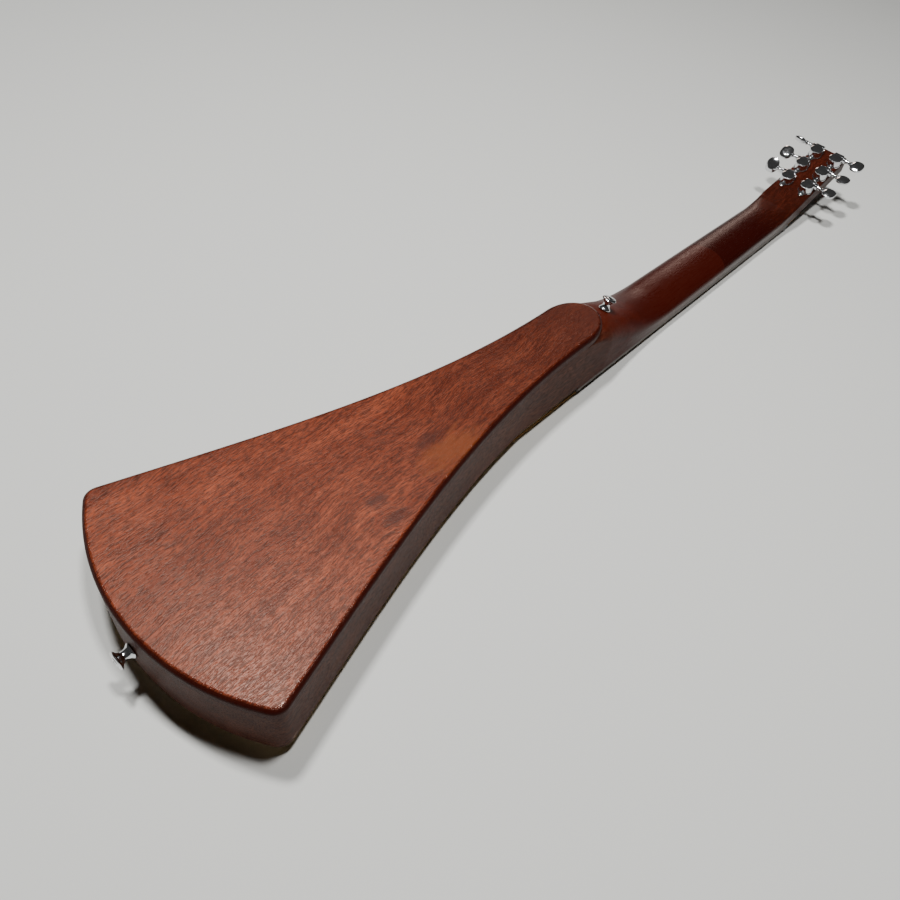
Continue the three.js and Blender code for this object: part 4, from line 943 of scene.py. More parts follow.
class GUITAR_OT_sides(Maker, bpy.types.Operator):
    """Adds the sides, the heel and the lower neck, carved as one piece"""

    bl_idname = "guitar.add_sides"
    bl_label = "Sides, heel and lower neck"

    def make(self, scene):
        body, neck = scene.guitar_body, scene.guitar_neck
        low = body.soundboard_face + body.soundboard_thickness + GLUE_GAP
        high = body.soundboard_face + body.depth - body.back_thickness - GLUE_GAP
        flank = front_x(neck) - body.flank_length
        outline = cut_half(half_outline(body, neck), flank, plan_half(body, neck, flank))
        path = [(x, y) for x, y in reversed(outline)] + [(x, -y) for x, y in outline[1:]]
        rings = []
        for k, (x, y) in enumerate(path):
            here = Vector((x, y))
            before = Vector(path[max(k - 1, 0)])
            after = Vector(path[min(k + 1, len(path) - 1)])
            along = (after - before).normalized()
            inner = here + Vector((-along.y, along.x)) * body.wall
            corners = ((here, low), (here, high), (inner, high), (inner, low))
            rings.append([at(*place, z) for place, z in corners])
        wall = skinned("sides_wall", rings)
        shaft = skinned("sides_heel", self.heel_rings(body, neck, low, high, flank))
        block = board(
            "sides_block", rectangle(BLOCK_START, -BLOCK_HALF, BLOCK_END, BLOCK_HALF),
            low + GLUE_GAP * 2, high - GLUE_GAP * 2,
        )
        piece = joined("sides_and_neck", [shaft, wall, block])
        done(piece, "guitar", "rim_wood", sides_finish(), "rim_and_neck", degrees=38)

    def heel_rings(self, body, neck, low, high, flank):
        """The flanks inside the body's front, the heel's slope, and the neck up to its joint."""
        front, end = front_x(neck), front_x(neck) + neck.heel_length
        rings = []
        for k in range(17):
            x = lerp(flank, front - GLUE_GAP, k / 16)
            upper = plan_half(body, neck, x)
            rings.append(neck_ring(x, max(neck_half(neck, x), upper), upper, low, high, high, 1))
        for k in range(61):
            share = k / 60
            x = lerp(front, end, share)
            narrow = min(1, share / HEEL_NARROW_SHARE) ** 2
            upper = lerp(plan_half(body, neck, front), neck_half(neck, x), narrow)
            side = lerp(neck.face + neck.side_heel, high, read_table(HEEL_PLACES, HEEL_SIDES, share))
            ridge = lerp(neck.face + neck.ridge_heel, high, read_table(HEEL_PLACES, HEEL_RIDGES, share))
            boxy = read_table(HEEL_PLACES, HEEL_BOXES, share)
            rings.append(neck_ring(x, neck_half(neck, x), upper, neck.face, side, ridge, boxy))
        scarf = nut_x(neck) - neck.scarf_from_nut - GLUE_GAP / 2
        for k in range(1, 11):
            rings.append(plain_neck_ring(neck, lerp(end, scarf, k / 10), SCARF_LEAN * smooth_step(k / 10)))
        return rings


class GUITAR_OT_headstock(Maker, bpy.types.Operator):
    """Adds the upper neck and the headstock"""

    bl_idname = "guitar.add_headstock"
    bl_label = "Upper neck and headstock"

    def make(self, scene):
        neck, f = scene.guitar_neck, scene.guitar_finishes
        nut = nut_x(neck)
        scarf = nut - neck.scarf_from_nut + GLUE_GAP / 2
        start = nut - neck.blend_before
        rings = []
        for k in range(13):
            lean = SCARF_LEAN * (1 - smooth_step(k / 8))
            rings.append(plain_neck_ring(neck, lerp(scarf, start, k / 12), lean))
        for k in range(1, 17):
            rings.append(self.joining_ring(neck, lerp(start, head_start(neck), k / 16)))
        piece = skinned("headstock_wood", rings + self.head_rings(neck))
        wood = red_wood(
            "head_wood", f.head_light, f.head_dark, pore_amount=0.3, figure=0.5, sheen=0.40,
            gloss=0.10, bump=0.3, far=(nut + 0.004, nut - 0.05, 0.95, f.neck_upper),
            far_gloss=(nut + 0.02, nut - 0.02, 0.20),
        )
        done(piece, "guitar", "head_wood", wood, "headstock", degrees=38)

    def blend_at(self, neck, along):
        """How far the round neck has turned into the flat headstock, from 0 to 1."""
        before = neck.blend_before + head_start(neck) - nut_x(neck)
        return smooth_step((along + before) / (neck.blend_after + before))

    def joining_ring(self, neck, x):
        """A section of the neck's last length, which grows square shoulders."""
        end = front_x(neck) + neck.heel_length
        share = min(1.0, (x - end) / (nut_x(neck) - end))
        thick = lerp(neck.ridge_heel, neck.ridge_nut, share)
        past = max(0.0, x - nut_x(neck)) / (head_start(neck) - nut_x(neck))
        thick = lerp(thick, neck.head_thickness + HEAD_SWELL, smooth_step(past))
        side_share = lerp(neck.side_nut / neck.ridge_nut, 0.5, past)
        blend = self.blend_at(neck, x - head_start(neck))
        half = max(neck_half(neck, x), neck.half_width_nut)
        return [at(x, y, neck.face + z) for y, z in self.section(half, thick, side_share, blend)]

    def head_rings(self, neck):
        """Sections of the headstock, closer together where it starts and where its end is rounded."""
        flat_end = neck.head_length - HEAD_END_RADIUS
        places = [k / 14 * HEAD_JOIN_LENGTH for k in range(1, 15)]
        places += [lerp(HEAD_JOIN_LENGTH, flat_end, k / 10) for k in range(1, 11)]
        for _, s in arc(1.0, 0.0, math.pi / 2, 6, first=1):
            places.append(neck.head_length - HEAD_END_RADIUS * (1 - s))
        rings = []
        for along in places:
            half = lerp(neck.head_half_width, neck.head_half_end, along / neck.head_length)
            half = lerp(neck.half_width_nut, half, smooth_step(along / HEAD_WIDEN_LENGTH))
            past = max(0.0, along - flat_end)
            trim = HEAD_END_RADIUS - math.sqrt(max(0.0, HEAD_END_RADIUS**2 - past**2))
            swell = HEAD_SWELL * (1 - smooth_step(along / HEAD_SWELL_LENGTH))
            thick = neck.head_thickness + swell - min(trim, HEAD_EDGE_RADIUS)
            lean = neck.head_tilt * (1 - smooth_step(along / HEAD_LEAN_LENGTH))
            ring = []
            for y, z in self.section(half - trim, thick, 0.5, self.blend_at(neck, along)):
                place = head_place(neck, along, y, z)
                place.x += z * math.sin(lean) * 0.98
                ring.append(place)
            rings.append(ring)
        return rings

    def section(self, half, thick, side_share, blend):
        """From the neck's round section to the headstock's flat one with rounded corners."""
        inner, flat = half - HEAD_EDGE_RADIUS, RIDGE_STEPS - CORNER_STEPS * 2
        corner = arc(HEAD_EDGE_RADIUS, 0.0, math.pi / 2, CORNER_STEPS, (inner, thick - HEAD_EDGE_RADIUS))
        boxed = corner + [(lerp(inner, -inner, k / flat), thick) for k in range(1, flat)]
        boxed += [(-y, z) for y, z in reversed(corner)]
        points = [(half, 0.0)]
        for (c, s), square in zip(arc(1.0, 0.0, math.pi, RIDGE_STEPS), boxed):
            rounded = (half * c, thick * lerp(side_share, 1.0, s))
            points.append(tuple(lerp(rounded[axis], square[axis], blend) for axis in (0, 1)))
        points.append((-half, 0.0))
        return points


class GUITAR_OT_soundboard(Maker, bpy.types.Operator):
    """Adds the soundboard with its hole and inlaid rings"""

    bl_idname = "guitar.add_soundboard"
    bl_label = "Soundboard"

    def make(self, scene):
        body, neck = scene.guitar_body, scene.guitar_neck
        end = front_x(neck) - GLUE_GAP
        flank = front_x(neck) - body.flank_length
        half = [(x, max(y, neck_half(neck, x)) if x > flank else y) for x, y in half_outline(body, neck)]
        half = cut_half(half, end, neck_half(neck, end))
        low = body.soundboard_face
        high = low + body.soundboard_thickness
        piece = board("soundboard_wood", whole(half), low, high)
        centre = at(front_x(neck) - body.soundhole_from_front, 0, (low + high) / 2)
        cut_out(piece, cylinder("soundhole_cut", 96, body.soundhole_radius, 0.02, centre))
        done(piece, "guitar", "spruce", self.inlaid(body, centre.x), "soundboard", degrees=30)
        piece.data.materials.append(sides_finish())
        for face in piece.data.polygons:
            near = math.hypot(face.center.x - centre.x, face.center.y) < body.soundhole_radius * 1.1
            face.material_index = 1 if abs(face.normal.z) < 0.5 and not near else 0

    def inlaid(self, body, centre_x):
        """The board's pale wood, with three dark rings let in round the hole."""
        made, w, shader, place = new_material("soundboard_spruce", coat=0.3, coat_roughness=0.25)
        grain = w.grouped(fine_grain_group(), {
            "Vector": place, "Colour": bpy.context.scene.guitar_finishes.spruce,
            "Lines": (0.36, 0.19, 0.07), "Line Amount": 0.6, "Sheen": 0.38,
        })
        parts = w.node("ShaderNodeSeparateXYZ", {"Vector": place}).outputs
        across = w.maths("SUBTRACT", parts["X"], centre_x)
        square = w.maths("ADD", w.maths("POWER", across, 2.0), w.maths("POWER", parts["Y"], 2.0))
        distance = w.maths("SUBTRACT", w.maths("SQRT", square, 0.0), body.soundhole_radius)
        tone, soft = grain["Color"], 0.00005
        for start, width, shade in ((0.0035, 0.0006, 0.02), (0.0047, 0.0022, 0.12), (0.0075, 0.0006, 0.02)):
            inner = w.ramp(distance, start, start + soft)
            outer = w.ramp(distance, start + width, start + width + soft, 1.0, 0.0)
            tone = w.mix(w.maths("MULTIPLY", inner, outer), tone, (shade, shade * 0.7, shade * 0.5))
        w.put(shader["Base Color"], tone)
        w.put(shader["Roughness"], grain["Roughness"])
        w.put(shader["Normal"], w.bump(grain["Height"], 0.12, 0.0001))
        return made


class GUITAR_OT_fingerboard(Maker, bpy.types.Operator):
    """Adds the fingerboard, its frets, its position dots and the nut's finish"""

    bl_idname = "guitar.add_fingerboard"
    bl_label = "Fingerboard and frets"

    def make(self, scene):
        neck = scene.guitar_neck
        end = front_x(neck) + GLUE_GAP
        top = neck.face - GLUE_GAP
        rings = []
        for k in range(25):
            x = lerp(end, nut_x(neck), k / 24)
            half, face = neck_half(neck, x), board_face(neck, x)
            rings.append([
                at(x, half, top), at(x, -half, top),
                at(x, -half, face + BOARD_EDGE), at(x, BOARD_EDGE - half, face),
                at(x, half - BOARD_EDGE, face), at(x, half, face + BOARD_EDGE),
            ])
        wood = skinned("fingerboard_wood", rings)
        done(wood, "guitar", "dark_wood", dark_wood(), "fingerboard", degrees=30)
        tone, worn = (0.62, 0.61, 0.58), (0.3, 0.28, 0.25)
        steel = handled_finish("fret_wire", tone, worn, 0.3, 0.18, 0.2, metallic=1.0)
        frets = joined("frets", [self.fret(neck, number) for number in range(1, neck.frets + 1)])
        done(frets, "guitar", "chrome", steel, degrees=50)
        pearl = handled_finish("pearl", (0.78, 0.77, 0.72), (0.55, 0.6, 0.62), 0.5, 0.15, 0.1, coat=0.4)
        dots = []
        for k, (number, offset) in enumerate(DOTS):
            x = (fret_x(neck, number) + fret_x(neck, number - 1)) / 2
            profile = ((0.0004, -0.00008), (0.0029, -0.00006), (0.003, 0.0), (0.003, 0.0005))
            dot = turned(f"dot_{k}", profile, 32)
            dots.append(moved(dot, Matrix.Translation(at(x, offset, board_face(neck, x)))))
        done(joined("position_dots", dots), "guitar", "bone_white", pearl, degrees=30)
        tone, worn = (0.030, 0.028, 0.027), (0.06, 0.055, 0.05)
        finished("nut", handled_finish("graphite_nut", tone, worn, 0.3, 0.38, 0.12))
        finished("saddle", bone_finish())

    def fret(self, neck, number):
        """One fret: a half round crown that drops at its ends, over a root in the board."""
        x = fret_x(neck, number)
        half, face = neck_half(neck, x) - FRET_INSET, board_face(neck, x)
        rows = []
        for share, height in FRET_STATIONS:
            crown = [
                (x - FRET_HALF * c, face - FRET_HEIGHT * height * s) for c, s in arc(1.0, 0.0, math.pi, 8)
            ]
            root = face + FRET_ROOT
            profile = [(x - FRET_HALF, root)] + crown + [(x + FRET_HALF, root)]
            rows.append([at(px, half * share, pz) for px, pz in profile])
        return skinned(f"fret_{number}", rows)


class GUITAR_OT_bridge(Maker, bpy.types.Operator):
    """Adds the bridge and its six pins"""

    bl_idname = "guitar.add_bridge"
    bl_label = "Bridge and pins"

    def make(self, scene):
        saddle = scene.guitar_neck.saddle_from_tail
        seat = scene.guitar_body.soundboard_face - GLUE_GAP
        face = seat - BRIDGE_THICKNESS
        left = saddle + BRIDGE_AHEAD - BRIDGE_LENGTH
        right, inner = left + BRIDGE_LENGTH - BRIDGE_CORNER, BRIDGE_WIDTH / 2 - BRIDGE_CORNER
        left += BRIDGE_CORNER
        outline, quarter = [], math.pi / 2
        for k, centre in enumerate(((right, -inner), (right, inner), (left, inner), (left, -inner))):
            outline += arc(BRIDGE_CORNER, (k - 1) * quarter, k * quarter, 12, centre)
        piece = board("bridge_wood", outline, face, seat)
        bevel_level(piece, STRING_PLANE + face, BRIDGE_EDGE, 6)
        low = face - CUT_OVERRUN
        slot = rectangle(saddle - SLOT_HALF, -SLOT_HALF_WIDTH, saddle + SLOT_HALF, SLOT_HALF_WIDTH)
        cut_out(piece, board("slot", slot, low, face + SLOT_DEPTH))
        row = saddle - PIN_ROW
        for number, diameter in enumerate(STRING_DIAMETERS, 1):
            y = string_y(number, SPREAD_AT_SADDLE)
            radius = diameter / 2 + FIT_GAP
            start = row + STRING_BESIDE_PIN + diameter / 2
            ramp = rectangle(start, y - radius, row + RAMP_LENGTH, y + radius)
            cut_out(piece, board("ramp", ramp, low, face + RAMP_DEPTH))
        pin_places = [at(row, string_y(number, SPREAD_AT_SADDLE), face) for number in range(1, 7)]
        for place in pin_places:
            cut_out(piece, cylinder("pin_hole", 32, PIN_HOLE_RADIUS, 0.03, place))
        done(piece, "guitar", "dark_wood", dark_wood(), "bridge", degrees=30)
        model = self.pin()
        for number, place in enumerate(pin_places, 1):
            pin = copied(model, f"pin_{number}", Matrix.Translation(place) @ shift(0, 0, -GLUE_GAP))
            done(pin, "guitar", "pin_black", None, f"bridge_pin_{number}", degrees=40)
        remove(model)

    def pin(self):
        """A bridge pin with its round head down, and a pale dot let into it."""
        tone, worn = (0.012, 0.012, 0.013), (0.03, 0.03, 0.03)
        black = handled_finish("polished_black", tone, worn, 0.3, 0.16, 0.1, coat=0.5)
        profile = [(0.0003, 0.017), (0.0015, 0.0169), (0.0022, 0.0163), (0.0026, 0.0), (0.0036, -0.0001)]
        head_radius, head_dome, head_lip = 0.0035, 0.0017, 0.0009
        for c, s in arc(1.0, 0.0, math.pi / 2, 8):
            profile.append((0.0003 + head_radius * c, -head_lip - head_dome * s))
        pin = turned("bridge_pin", profile, 40)
        dot_profile = [(0.0002, -0.00268), (0.0010, -0.00266), (0.0011, -0.0025), (0.0011, -0.002)]
        dot = turned("pin_dot", dot_profile, 24)
        dot.data.materials.append(bone_finish())
        pin.data.materials.append(black)
        return joined("bridge_pin_model", [pin, dot])


class GUITAR_OT_strings(Maker, bpy.types.Operator):
    """Adds the six strings from their ball ends to the turns on their posts"""

    bl_idname = "guitar.add_strings"
    bl_label = "Strings"

    def make(self, scene):
        body, neck, tuner = scene.guitar_body, scene.guitar_neck, scene.guitar_tuners
        tone, worn = (0.62, 0.62, 0.63), (0.35, 0.33, 0.3)
        plain = handled_finish("plain_wire", tone, worn, 0.3, 0.2, 0.15, metallic=1.0)
        wound = self.wound_wire(scene.guitar_finishes.bronze)
        for number, diameter in enumerate(STRING_DIAMETERS, 1):
            route = self.route(body, neck, number, diameter / 2)
            ball = route[0]
            points = []
            for a, b in zip(route, route[1:]):
                cuts = max(1, round((b - a).length / 0.03))
                points += [a.lerp(b, k / cuts) for k in range(cuts)]
            turns = self.winding(neck, tuner, number, diameter)
            points += [route[-1].lerp(turns[0], k / 3) for k in range(3)] + turns
            wire = skinned(f"string_wire_{number}", tube_rings(points, diameter / 2, 10))
            end = cylinder("ball_end", 24, BALL_RADIUS, BALL_LENGTH, ball)
            bevel_edges(end, lambda e: abs(e.verts[0].co.z - e.verts[1].co.z) < 1e-4, 0.0008, 4)
            piece = joined(f"string_{number}_wire", [wire, moved(end, Matrix.Translation(ball))])
            slot = "plain_string" if number < 3 else "wound_string"
            done(piece, "guitar", slot, plain if number < 3 else wound, f"string_{number}", degrees=60)

    def wound_wire(self, bronze):
        made, w, shader, place = new_material("wound_wire", metallic=1.0)
        waves = w.node("ShaderNodeTexWave", {"Vector": place, "Scale": 420.0}, bands_direction="X")
        ridges = waves.outputs["Fac"]
        w.put(shader["Base Color"], w.mix(w.ramp(ridges, 0.1, 0.9), (0.20, 0.10, 0.035), bronze))
        w.put(shader["Roughness"], w.ramp(ridges, 0.0, 1.0, 0.45, 0.26))
        w.put(shader["Normal"], w.bump(ridges, 0.6, 0.0001))
        return made

    def route(self, body, neck, number, r):
        """From the ball under the plate up its hole, down the ramp and over saddle and nut."""
        y, nut_y = string_y(number, SPREAD_AT_SADDLE), string_y(number, SPREAD_AT_NUT)
        saddle = neck.saddle_from_tail
        face = body.soundboard_face - GLUE_GAP - BRIDGE_THICKNESS
        plate = body.soundboard_face + body.soundboard_thickness + GLUE_GAP + BRIDGE_PLATE_THICKNESS
        row = saddle - PIN_ROW
        hole = row + STRING_BESIDE_PIN + r
        return [
            at(row + 0.0049, y, plate + 0.0021), at(hole, y, plate + FIT_GAP + r),
            at(hole, y, face + 0.0035 - r), at(row + 0.0041 + r, y, face),
            at(saddle - SADDLE_HALF, y, r + GLUE_GAP),
            at(saddle + SADDLE_HALF, y, r), at(nut_x(neck), nut_y, r),
            at(head_start(neck) - GLUE_GAP, nut_y, r),
        ]

    def winding(self, neck, tuner, number, diameter):
        """The turns of a string round its post, from the point where it first touches."""
        side, slot = next((tuning[1], tuning[2]) for tuning in TUNERS if tuning[0] == number)
        radius = 0.0026 + diameter / 2
        start_y = string_y(number, SPREAD_AT_NUT)
        x, y = tuner.first_post + slot * tuner.spacing, side * tuner.row
        way = side if abs(start_y) > tuner.row + radius else -side
        heading = math.atan2(y - start_y, x)
        first = heading + math.pi - way * math.acos(radius / math.hypot(x, y - start_y))
        pitch = diameter + 0.00045
        turns, steps = 3, 28
        places = []
        for step in range(turns * steps + 1):
            a = first - way * step / steps * 2 * math.pi
            depth = -0.003 - diameter / 2 - step / steps * pitch
            places.append(head_place(neck, x + radius * math.cos(a), y + radius * math.sin(a), depth))
        return places


def cross_recess(piece, top, reach, width, depth):
    """Cuts a cross for a driver into a screw's head."""
    for turn in (0, math.pi / 2):
        deselect()
        bpy.ops.mesh.primitive_cube_add(size=1, location=(0, 0, 0))
        sized = Matrix.Rotation(turn, 4, "Z") @ Matrix.Diagonal((reach * 2, width, depth * 2, 1))
        cut_out(piece, moved(moved(named("cross_cut"), sized), shift(0, 0, top)))
    return piece


def domed(radius, lip, dome, start=0.0, steps=8, small=0.0002):
    """The profile of a domed head: up a lip, then over a quarter round."""
    profile = [(radius, start), (radius, start + lip)]
    for c, s in arc(1.0, 0.0, math.pi / 2, steps, first=1):
        profile.append((max(small, radius * c), start + lip + dome * s))
    return profile


class GUITAR_OT_tuners(Maker, bpy.types.Operator):
    """Adds the six tuners: case, screw, bushing, post and button each"""

    bl_idname = "guitar.add_tuners"
    bl_label = "Tuners"

    def make(self, scene):
        neck, t = scene.guitar_neck, scene.guitar_tuners
        metal = plating()
        case, screw, post = self.case(t), self.screw(), self.post(t)
        bushing = turned_ring("bushing_model", [
            (0.0034, -0.0163), (0.0045, -0.0163), (0.0048, -0.0161), (0.0049, -0.0158), (0.0049, -0.0151),
            (0.0041, -0.0151), (0.0041, -0.005), (0.0034, -0.005),
        ], 40)
        paddle, stem = self.paddle(t), self.stem(t)
        tilt = Matrix.Rotation(-neck.head_tilt, 4, "Y")
        shaft = shift(t.shaft_place, 0, t.shaft_height)
        for number, side, place, turn in TUNERS:
            along = t.first_post + place * t.spacing
            seat = Matrix.Translation(head_place(neck, along, side * t.row, neck.head_thickness)) @ tilt
            lifted = seat @ shift(0, 0, GLUE_GAP) @ Matrix.Diagonal((1, side, 1, 1))
            for model, name, node, where, body in (
                (case, "case", "tuner_case", lifted, "guitar"),
                (screw, "case_screw", "tuner_screw", seat @ shift(-t.lug_reach, 0, 0.0014), "guitar"),
                (bushing, "bushing", "tuner_bushing", seat, "guitar"),
                (post, "post", "tuner_post", seat, f"post_{number}"),
            ):
                made = copied(model, f"{name}_{number}", where)
                done(made, body, "chrome", metal, f"{node}_{number}", degrees=34)
            spin = Matrix.Rotation(math.radians(turn), 4, "Y")
            around = Matrix.Identity(4) if side > 0 else Matrix.Rotation(math.pi, 4, "Z")
            made = joined(f"button_{number}", [
                copied(paddle, "turned_paddle", seat @ shaft @ around @ spin),
                copied(stem, "turned_stem", seat @ shaft @ around),
            ])
            done(made, f"button_{number}", "chrome", metal, f"tuner_button_{number}", degrees=24)
        remove(case, screw, bushing, post, paddle, stem)

    def case(self, t):
        """The round wall with its domed cap, the screw's lug and the barrel round the worm."""
        wall_radius, cap_radius = t.wall_radius, t.cap_radius
        wall = turned("case_wall", [
            (wall_radius - 0.0007, 0.0), (wall_radius + 0.0006, 0.0), (wall_radius + 0.0006, 0.0008),
            (wall_radius, 0.0013), (wall_radius, 0.0068), (cap_radius - 0.0003, 0.0070),
            (cap_radius, 0.0073), (cap_radius, 0.0077), (cap_radius - 0.0002, 0.0081),
            (cap_radius - 0.0006, 0.0083), (cap_radius - 0.0012, 0.00838), (cap_radius * 0.62, 0.00860),
            (cap_radius * 0.35, 0.00873), (0.0004, 0.0088),
        ], 56)
        lug = loose_board("case_lug", self.lug_outline(t), 0.0, LUG_THICKNESS)
        bevel_level(lug, LUG_THICKNESS, 0.0003, 3)
        cut_out(lug, cylinder("lug_hole", 24, LUG_HOLE_RADIUS, 0.01, (-t.lug_reach, 0, 0)))
        half = BARREL_HALF
        barrel = turned("case_barrel", [
            (0.0006, -half), (0.0030, -half), (0.0038, -half + 0.0003), (0.0041, -half + 0.0009),
            (0.0041, half - 0.0006), (0.0038, half), (0.0032, half + 0.0003), (0.0030, half + 0.0007),
            (0.0030, 0.0080), (0.0028, 0.0084), (0.0025, 0.0086), (0.0018, 0.0086),
        ], 40)
        lying = Matrix.Rotation(-math.pi / 2, 4, "X")
        barrel = moved(barrel, shift(t.shaft_place, 0, t.shaft_height) @ lying)
        cut_out(barrel, loose_board("under", rectangle(-0.02, -0.02, 0.02, 0.02), -0.01, 0.0))
        return joined("case_model", [wall, lug, barrel])

    def lug_outline(self, t):
        """The floor of the case: a screw lug that widens into the round wall."""
        upper = [(0.0103, 0.0050), (0.0095, 0.0058), (0.0, 0.0063), (-0.0040, 0.0062), (-0.0055, 0.0031)]
        lower = [(x, -y) for x, y in reversed(upper)]
        return arc(LUG_RADIUS, math.pi / 2, math.pi * 1.5, 16, (-t.lug_reach, 0.0)) + lower + upper

    def screw(self):
        profile = [(0.0001, -0.008), (0.0009, -0.0062), (0.0009, 0.0)]
        piece = turned("case_screw_model", profile + domed(0.0018, 0.00035, 0.00075), 32)
        return cross_recess(piece, 0.0011, 0.0011, 0.0004, 0.0005)

    def post(self, t):
        """The string post with its hole, and the wheel of slanted teeth inside the case."""
        tip = -0.015 - t.post_height
        r, waist = t.post_radius, POST_WAIST
        piece = turned("post_shaft", [
            (0.0004, tip), (0.0016, tip + 0.0001), (0.0025, tip + 0.0004), (r, tip + 0.0009),
            (r, tip + 0.0024), (waist + 0.0002, tip + 0.0027), (waist, tip + 0.0031),
            (waist, -0.0173), (r, -0.0166), (r, 0.0062), (0.0004, 0.0062),
        ], 40)
        tool = cylinder("post_hole", 24, 0.0009, 0.02)
        cut_out(piece, moved(tool, shift(0, 0, -POST_HOLE_PLACE) @ Matrix.Rotation(math.pi / 2, 4, "X")))
        step, middle = 2 * math.pi / WHEEL_TEETH, lerp(WHEEL_ROOT, WHEEL_TIP, 0.5)
        tooth_shape = (
            (WHEEL_ROOT, -0.40), (middle, -0.21), (WHEEL_TIP, -0.10),
            (WHEEL_TIP, 0.10), (middle, 0.21), (WHEEL_ROOT, 0.40),
        )
        rings = []
        for level in range(5):
            z = lerp(WHEEL_LOW, WHEEL_HIGH, level / 4)
            ring = []
            for tooth in range(WHEEL_TEETH):
                for radius, offset in tooth_shape:
                    a = (tooth + 0.5 + offset) * step + (z - t.shaft_height) * WHEEL_TWIST
                    ring.append(Vector((radius * math.cos(a), radius * math.sin(a), z)))
            rings.append(ring)
        return joined("post_model", [piece, skinned("post_wheel", rings)])

    def paddle(self, t):
        """The button's face: a rounded lozenge, thick in its middle and thin at its rim."""
        points = []
        for c, s in ring_of(1.0, 48):
            points.append((
                math.copysign(abs(c) ** 0.86, c) * t.button_height / 2,
                math.copysign(abs(s) ** 0.78, s) * t.button_length / 2,
            ))
        half = t.button_thickness / 2
        levels = ((-1.0, 0.55), (-0.97, 0.62), (-0.62, 0.86), (-0.42, 0.97), (-0.2, 1.0))
        levels = levels + tuple((-h, share) for h, share in reversed(levels))
        rings = [[Vector((x * share, y * share, h * half)) for x, y in points] for h, share in levels]
        return moved(skinned("button_paddle", rings), shift(0, t.button_reach, 0))

    def stem(self, t):
        """The button's shaft with its collars, and the worm inside the case."""
        r = t.button_reach
        shaft = turned("button_shaft", [
            (0.0003, -0.0062), (0.00145, -0.0062), (0.00145, 0.0089), (0.0019, 0.0089), (0.0022, 0.0091),
            (0.0022, 0.0101), (0.0019, 0.0103), (0.0019, 0.0113), (0.0016, 0.0116), (0.0015, 0.0130),
            (0.0017, 0.0140), (0.0022, 0.0148), (0.0023, 0.0156), (0.0019, 0.0162), (0.0016, r), (0.0003, r),
        ], 32)
        shaft = moved(shaft, Matrix.Rotation(-math.pi / 2, 4, "X"))
        thread = ((WORM_CORE, -0.00048), (WORM_TIP, -0.0002), (WORM_TIP, 0.0002), (WORM_CORE, 0.00048))
        steps = 20
        rings = []
        for k in range(-30, 31):
            a = k / steps * 2 * math.pi - math.pi / 2
            along = k / steps * WORM_LEAD
            rings.append([
                Vector((radius * math.sin(a), along + offset, radius * math.cos(a)))
                for radius, offset in thread
            ])
        return joined("stem_model", [shaft, skinned("button_worm", rings)])


class GUITAR_OT_strap_buttons(Maker, bpy.types.Operator):
    """Adds the two strap buttons and their screws"""

    bl_idname = "guitar.add_strap_buttons"
    bl_label = "Strap buttons"

    def make(self, scene):
        metal = plating()
        knob = turned_ring("strap_button_model", [
            (0.0020, 0.0), (0.0046, 0.0), (0.0050, 0.0003), (0.0051, 0.0008), (0.0049, 0.0013),
            (0.0041, 0.0020), (0.0034, 0.0031), (0.0031, 0.0043), (0.0031, 0.0058), (0.0034, 0.0068),
            (0.0042, 0.0078), (0.0054, 0.0085), (0.0060, 0.0091), (0.0061, 0.0096), (0.0058, 0.0101),
            (0.0051, 0.0104), (0.0042, 0.0105), (0.0035, 0.0105), (0.0020, 0.0090),
        ], 64)
        shank = [(0.0002, -0.0095), (0.0017, -0.0061), (0.0017, 0.0090)]
        screw = turned("strap_screw_model", shank + domed(0.0032, 0.0001, 0.0007, 0.0104), 40)
        screw = cross_recess(screw, 0.0112, 0.0019, 0.0006, 0.0009)
        for where in ("tail", "heel"):
            seat = self.seat(where)
            made = copied(knob, f"{where}_strap_knob", seat)
            done(made, "guitar", "chrome", metal, f"{where}_strap_button", degrees=40)
            made = copied(screw, f"{where}_strap_pin", seat)
            done(made, "guitar", "chrome", metal, f"{where}_strap_screw", degrees=34)
        remove(knob, screw)

    def seat(self, where):
        """Where a strap button stands, read from the points of its measured solids."""
        points = self.points(f"{where}_strap_button")
        centre = points.mean(axis=0)
        along = Vector((-1, 0, 0))
        if where == "heel":
            screw = self.points("heel_strap_screw")
            along = Vector(centre - screw[np.argmax(((screw - centre) ** 2).sum(axis=1))]).normalized()
        lowest = (points @ np.array(along)).min()
        base = Vector(centre) + along * (lowest - Vector(centre).dot(along))
        return Matrix.Translation(base) @ along.to_track_quat("Z", "Y").to_matrix().to_4x4()

    def points(self, node):
        return np.array([v.co[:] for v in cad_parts[node].data.vertices])


class GUITAR_OT_inner_pieces(Maker, bpy.types.Operator):
    """Finishes the pieces that lie hidden inside the body and the neck"""

    bl_idname = "guitar.finish_inner_pieces"
    bl_label = "Braces, bridge plate and bar"

    def make(self, scene):
        spruce = grained_finish("brace_spruce", (0.66, 0.46, 0.25), (0.40, 0.24, 0.10), 0.5, 0.5, 0.15)
        maple = grained_finish("plate_maple", (0.58, 0.42, 0.24), (0.40, 0.27, 0.14), 0.25, 0.5, 0.15)
        tone, worn = (0.34, 0.34, 0.35), (0.16, 0.13, 0.11)
        steel = handled_finish("drawn_bar", tone, worn, 0.4, 0.4, 0.2, metallic=1.0)
        finishes = {"front_brace": spruce, "rear_brace": spruce, "bridge_plate": maple, "neck_bar": steel}
        for node, finish in finishes.items():
            finished(node, finish)


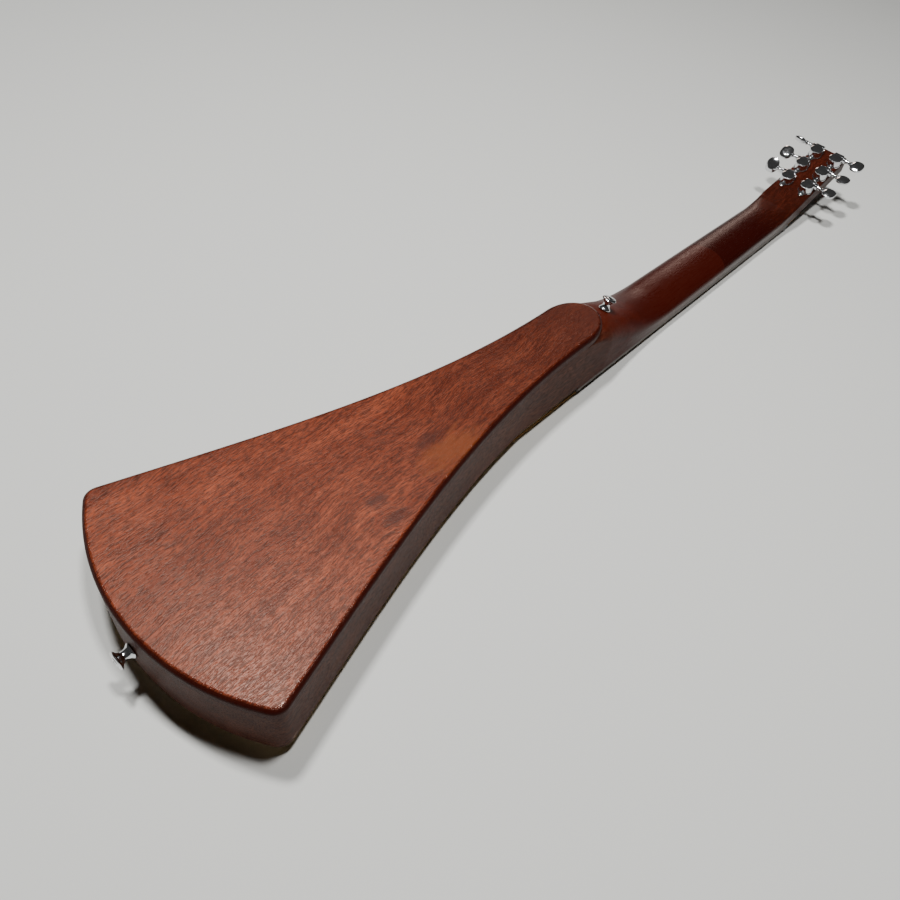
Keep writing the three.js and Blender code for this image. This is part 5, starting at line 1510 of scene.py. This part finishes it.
class GUITAR_OT_stage(Maker, bpy.types.Operator):
    """Adds the floor, the soft lights and the camera"""

    bl_idname = "guitar.add_stage"
    bl_label = "Stage"

    def make(self, scene):
        stage = scene.guitar_stage
        deselect()
        bpy.ops.mesh.primitive_plane_add(size=stage.floor_size, location=(0, 0, -0.0002))
        floor = named("floor")
        made, w, shader, _ = new_material("pale_floor", specular=0.0)
        w.put(shader["Base Color"], stage.floor_colour)
        w.put(shader["Roughness"], 0.9)
        floor.data.materials.append(made)
        world = bpy.data.worlds.new("soft_room")
        scene.world = world
        world.use_nodes = True
        background = world.node_tree.nodes["Background"].inputs
        background["Color"].default_value = (0.92, 0.90, 0.88, 1)
        background["Strength"].default_value = 0.05
        world.cycles_visibility.diffuse = False
        for name, place, target, size, power, tint, lit in LIGHTS:
            bpy.ops.object.light_add(type="AREA", location=at(*place))
            light = bpy.context.object
            light.name = name
            light.data.size = size
            light.data.energy = power
            light.data.color = tint
            light.visible_diffuse = lit
            light.rotation_euler = (at(*target) - at(*place)).to_track_quat("-Z", "Y").to_euler()
        bpy.ops.object.camera_add()
        camera = bpy.context.object
        camera.name = "photo_camera"
        camera.data.lens = stage.lens
        camera.data.sensor_width = SENSOR_WIDTH
        camera.data.clip_start = 0.01
        turn = Matrix(CAMERA_AXES).transposed().to_4x4()
        camera.matrix_world = Matrix.Translation(at(*CAMERA_PLACE)) @ turn
        scene.camera = camera


OPERATORS = (
    GUITAR_OT_stage, GUITAR_OT_back, GUITAR_OT_sides, GUITAR_OT_headstock, GUITAR_OT_soundboard,
    GUITAR_OT_fingerboard, GUITAR_OT_bridge, GUITAR_OT_strings, GUITAR_OT_tuners,
    GUITAR_OT_strap_buttons, GUITAR_OT_inner_pieces,
)

GROUPS = (
    ("guitar_body", GuitarBodySizes), ("guitar_neck", GuitarNeckSizes), ("guitar_tuners", GuitarTunerSizes),
    ("guitar_finishes", GuitarFinishes), ("guitar_stage", GuitarStageSizes),
)


class GUITAR_PT_pieces(bpy.types.Panel):
    """Lists the guitar's pieces, sizes and finishes"""

    bl_label = "Travel guitar"
    bl_idname = "GUITAR_PT_pieces"
    bl_space_type = "VIEW_3D"
    bl_region_type = "UI"
    bl_category = "Guitar"

    def draw(self, context):
        layout = self.layout
        for operator in OPERATORS:
            layout.operator(operator.bl_idname)
        for name, group in GROUPS:
            box = layout.box()
            for key in group.__annotations__:
                box.prop(getattr(context.scene, name), key)


def register():
    for name, group in GROUPS:
        bpy.utils.register_class(group)
        setattr(bpy.types.Scene, name, bpy.props.PointerProperty(type=group))
    for operator in OPERATORS:
        bpy.utils.register_class(operator)
    bpy.utils.register_class(GUITAR_PT_pieces)


def unregister():
    bpy.utils.unregister_class(GUITAR_PT_pieces)
    for operator in reversed(OPERATORS):
        bpy.utils.unregister_class(operator)
    for name, group in reversed(GROUPS):
        delattr(bpy.types.Scene, name)
        bpy.utils.unregister_class(group)


def main():
    register()
    for operator in OPERATORS:
        group, name = operator.bl_idname.split(".")
        getattr(getattr(bpy.ops, group), name)()


if __name__ == "__main__":
    main()
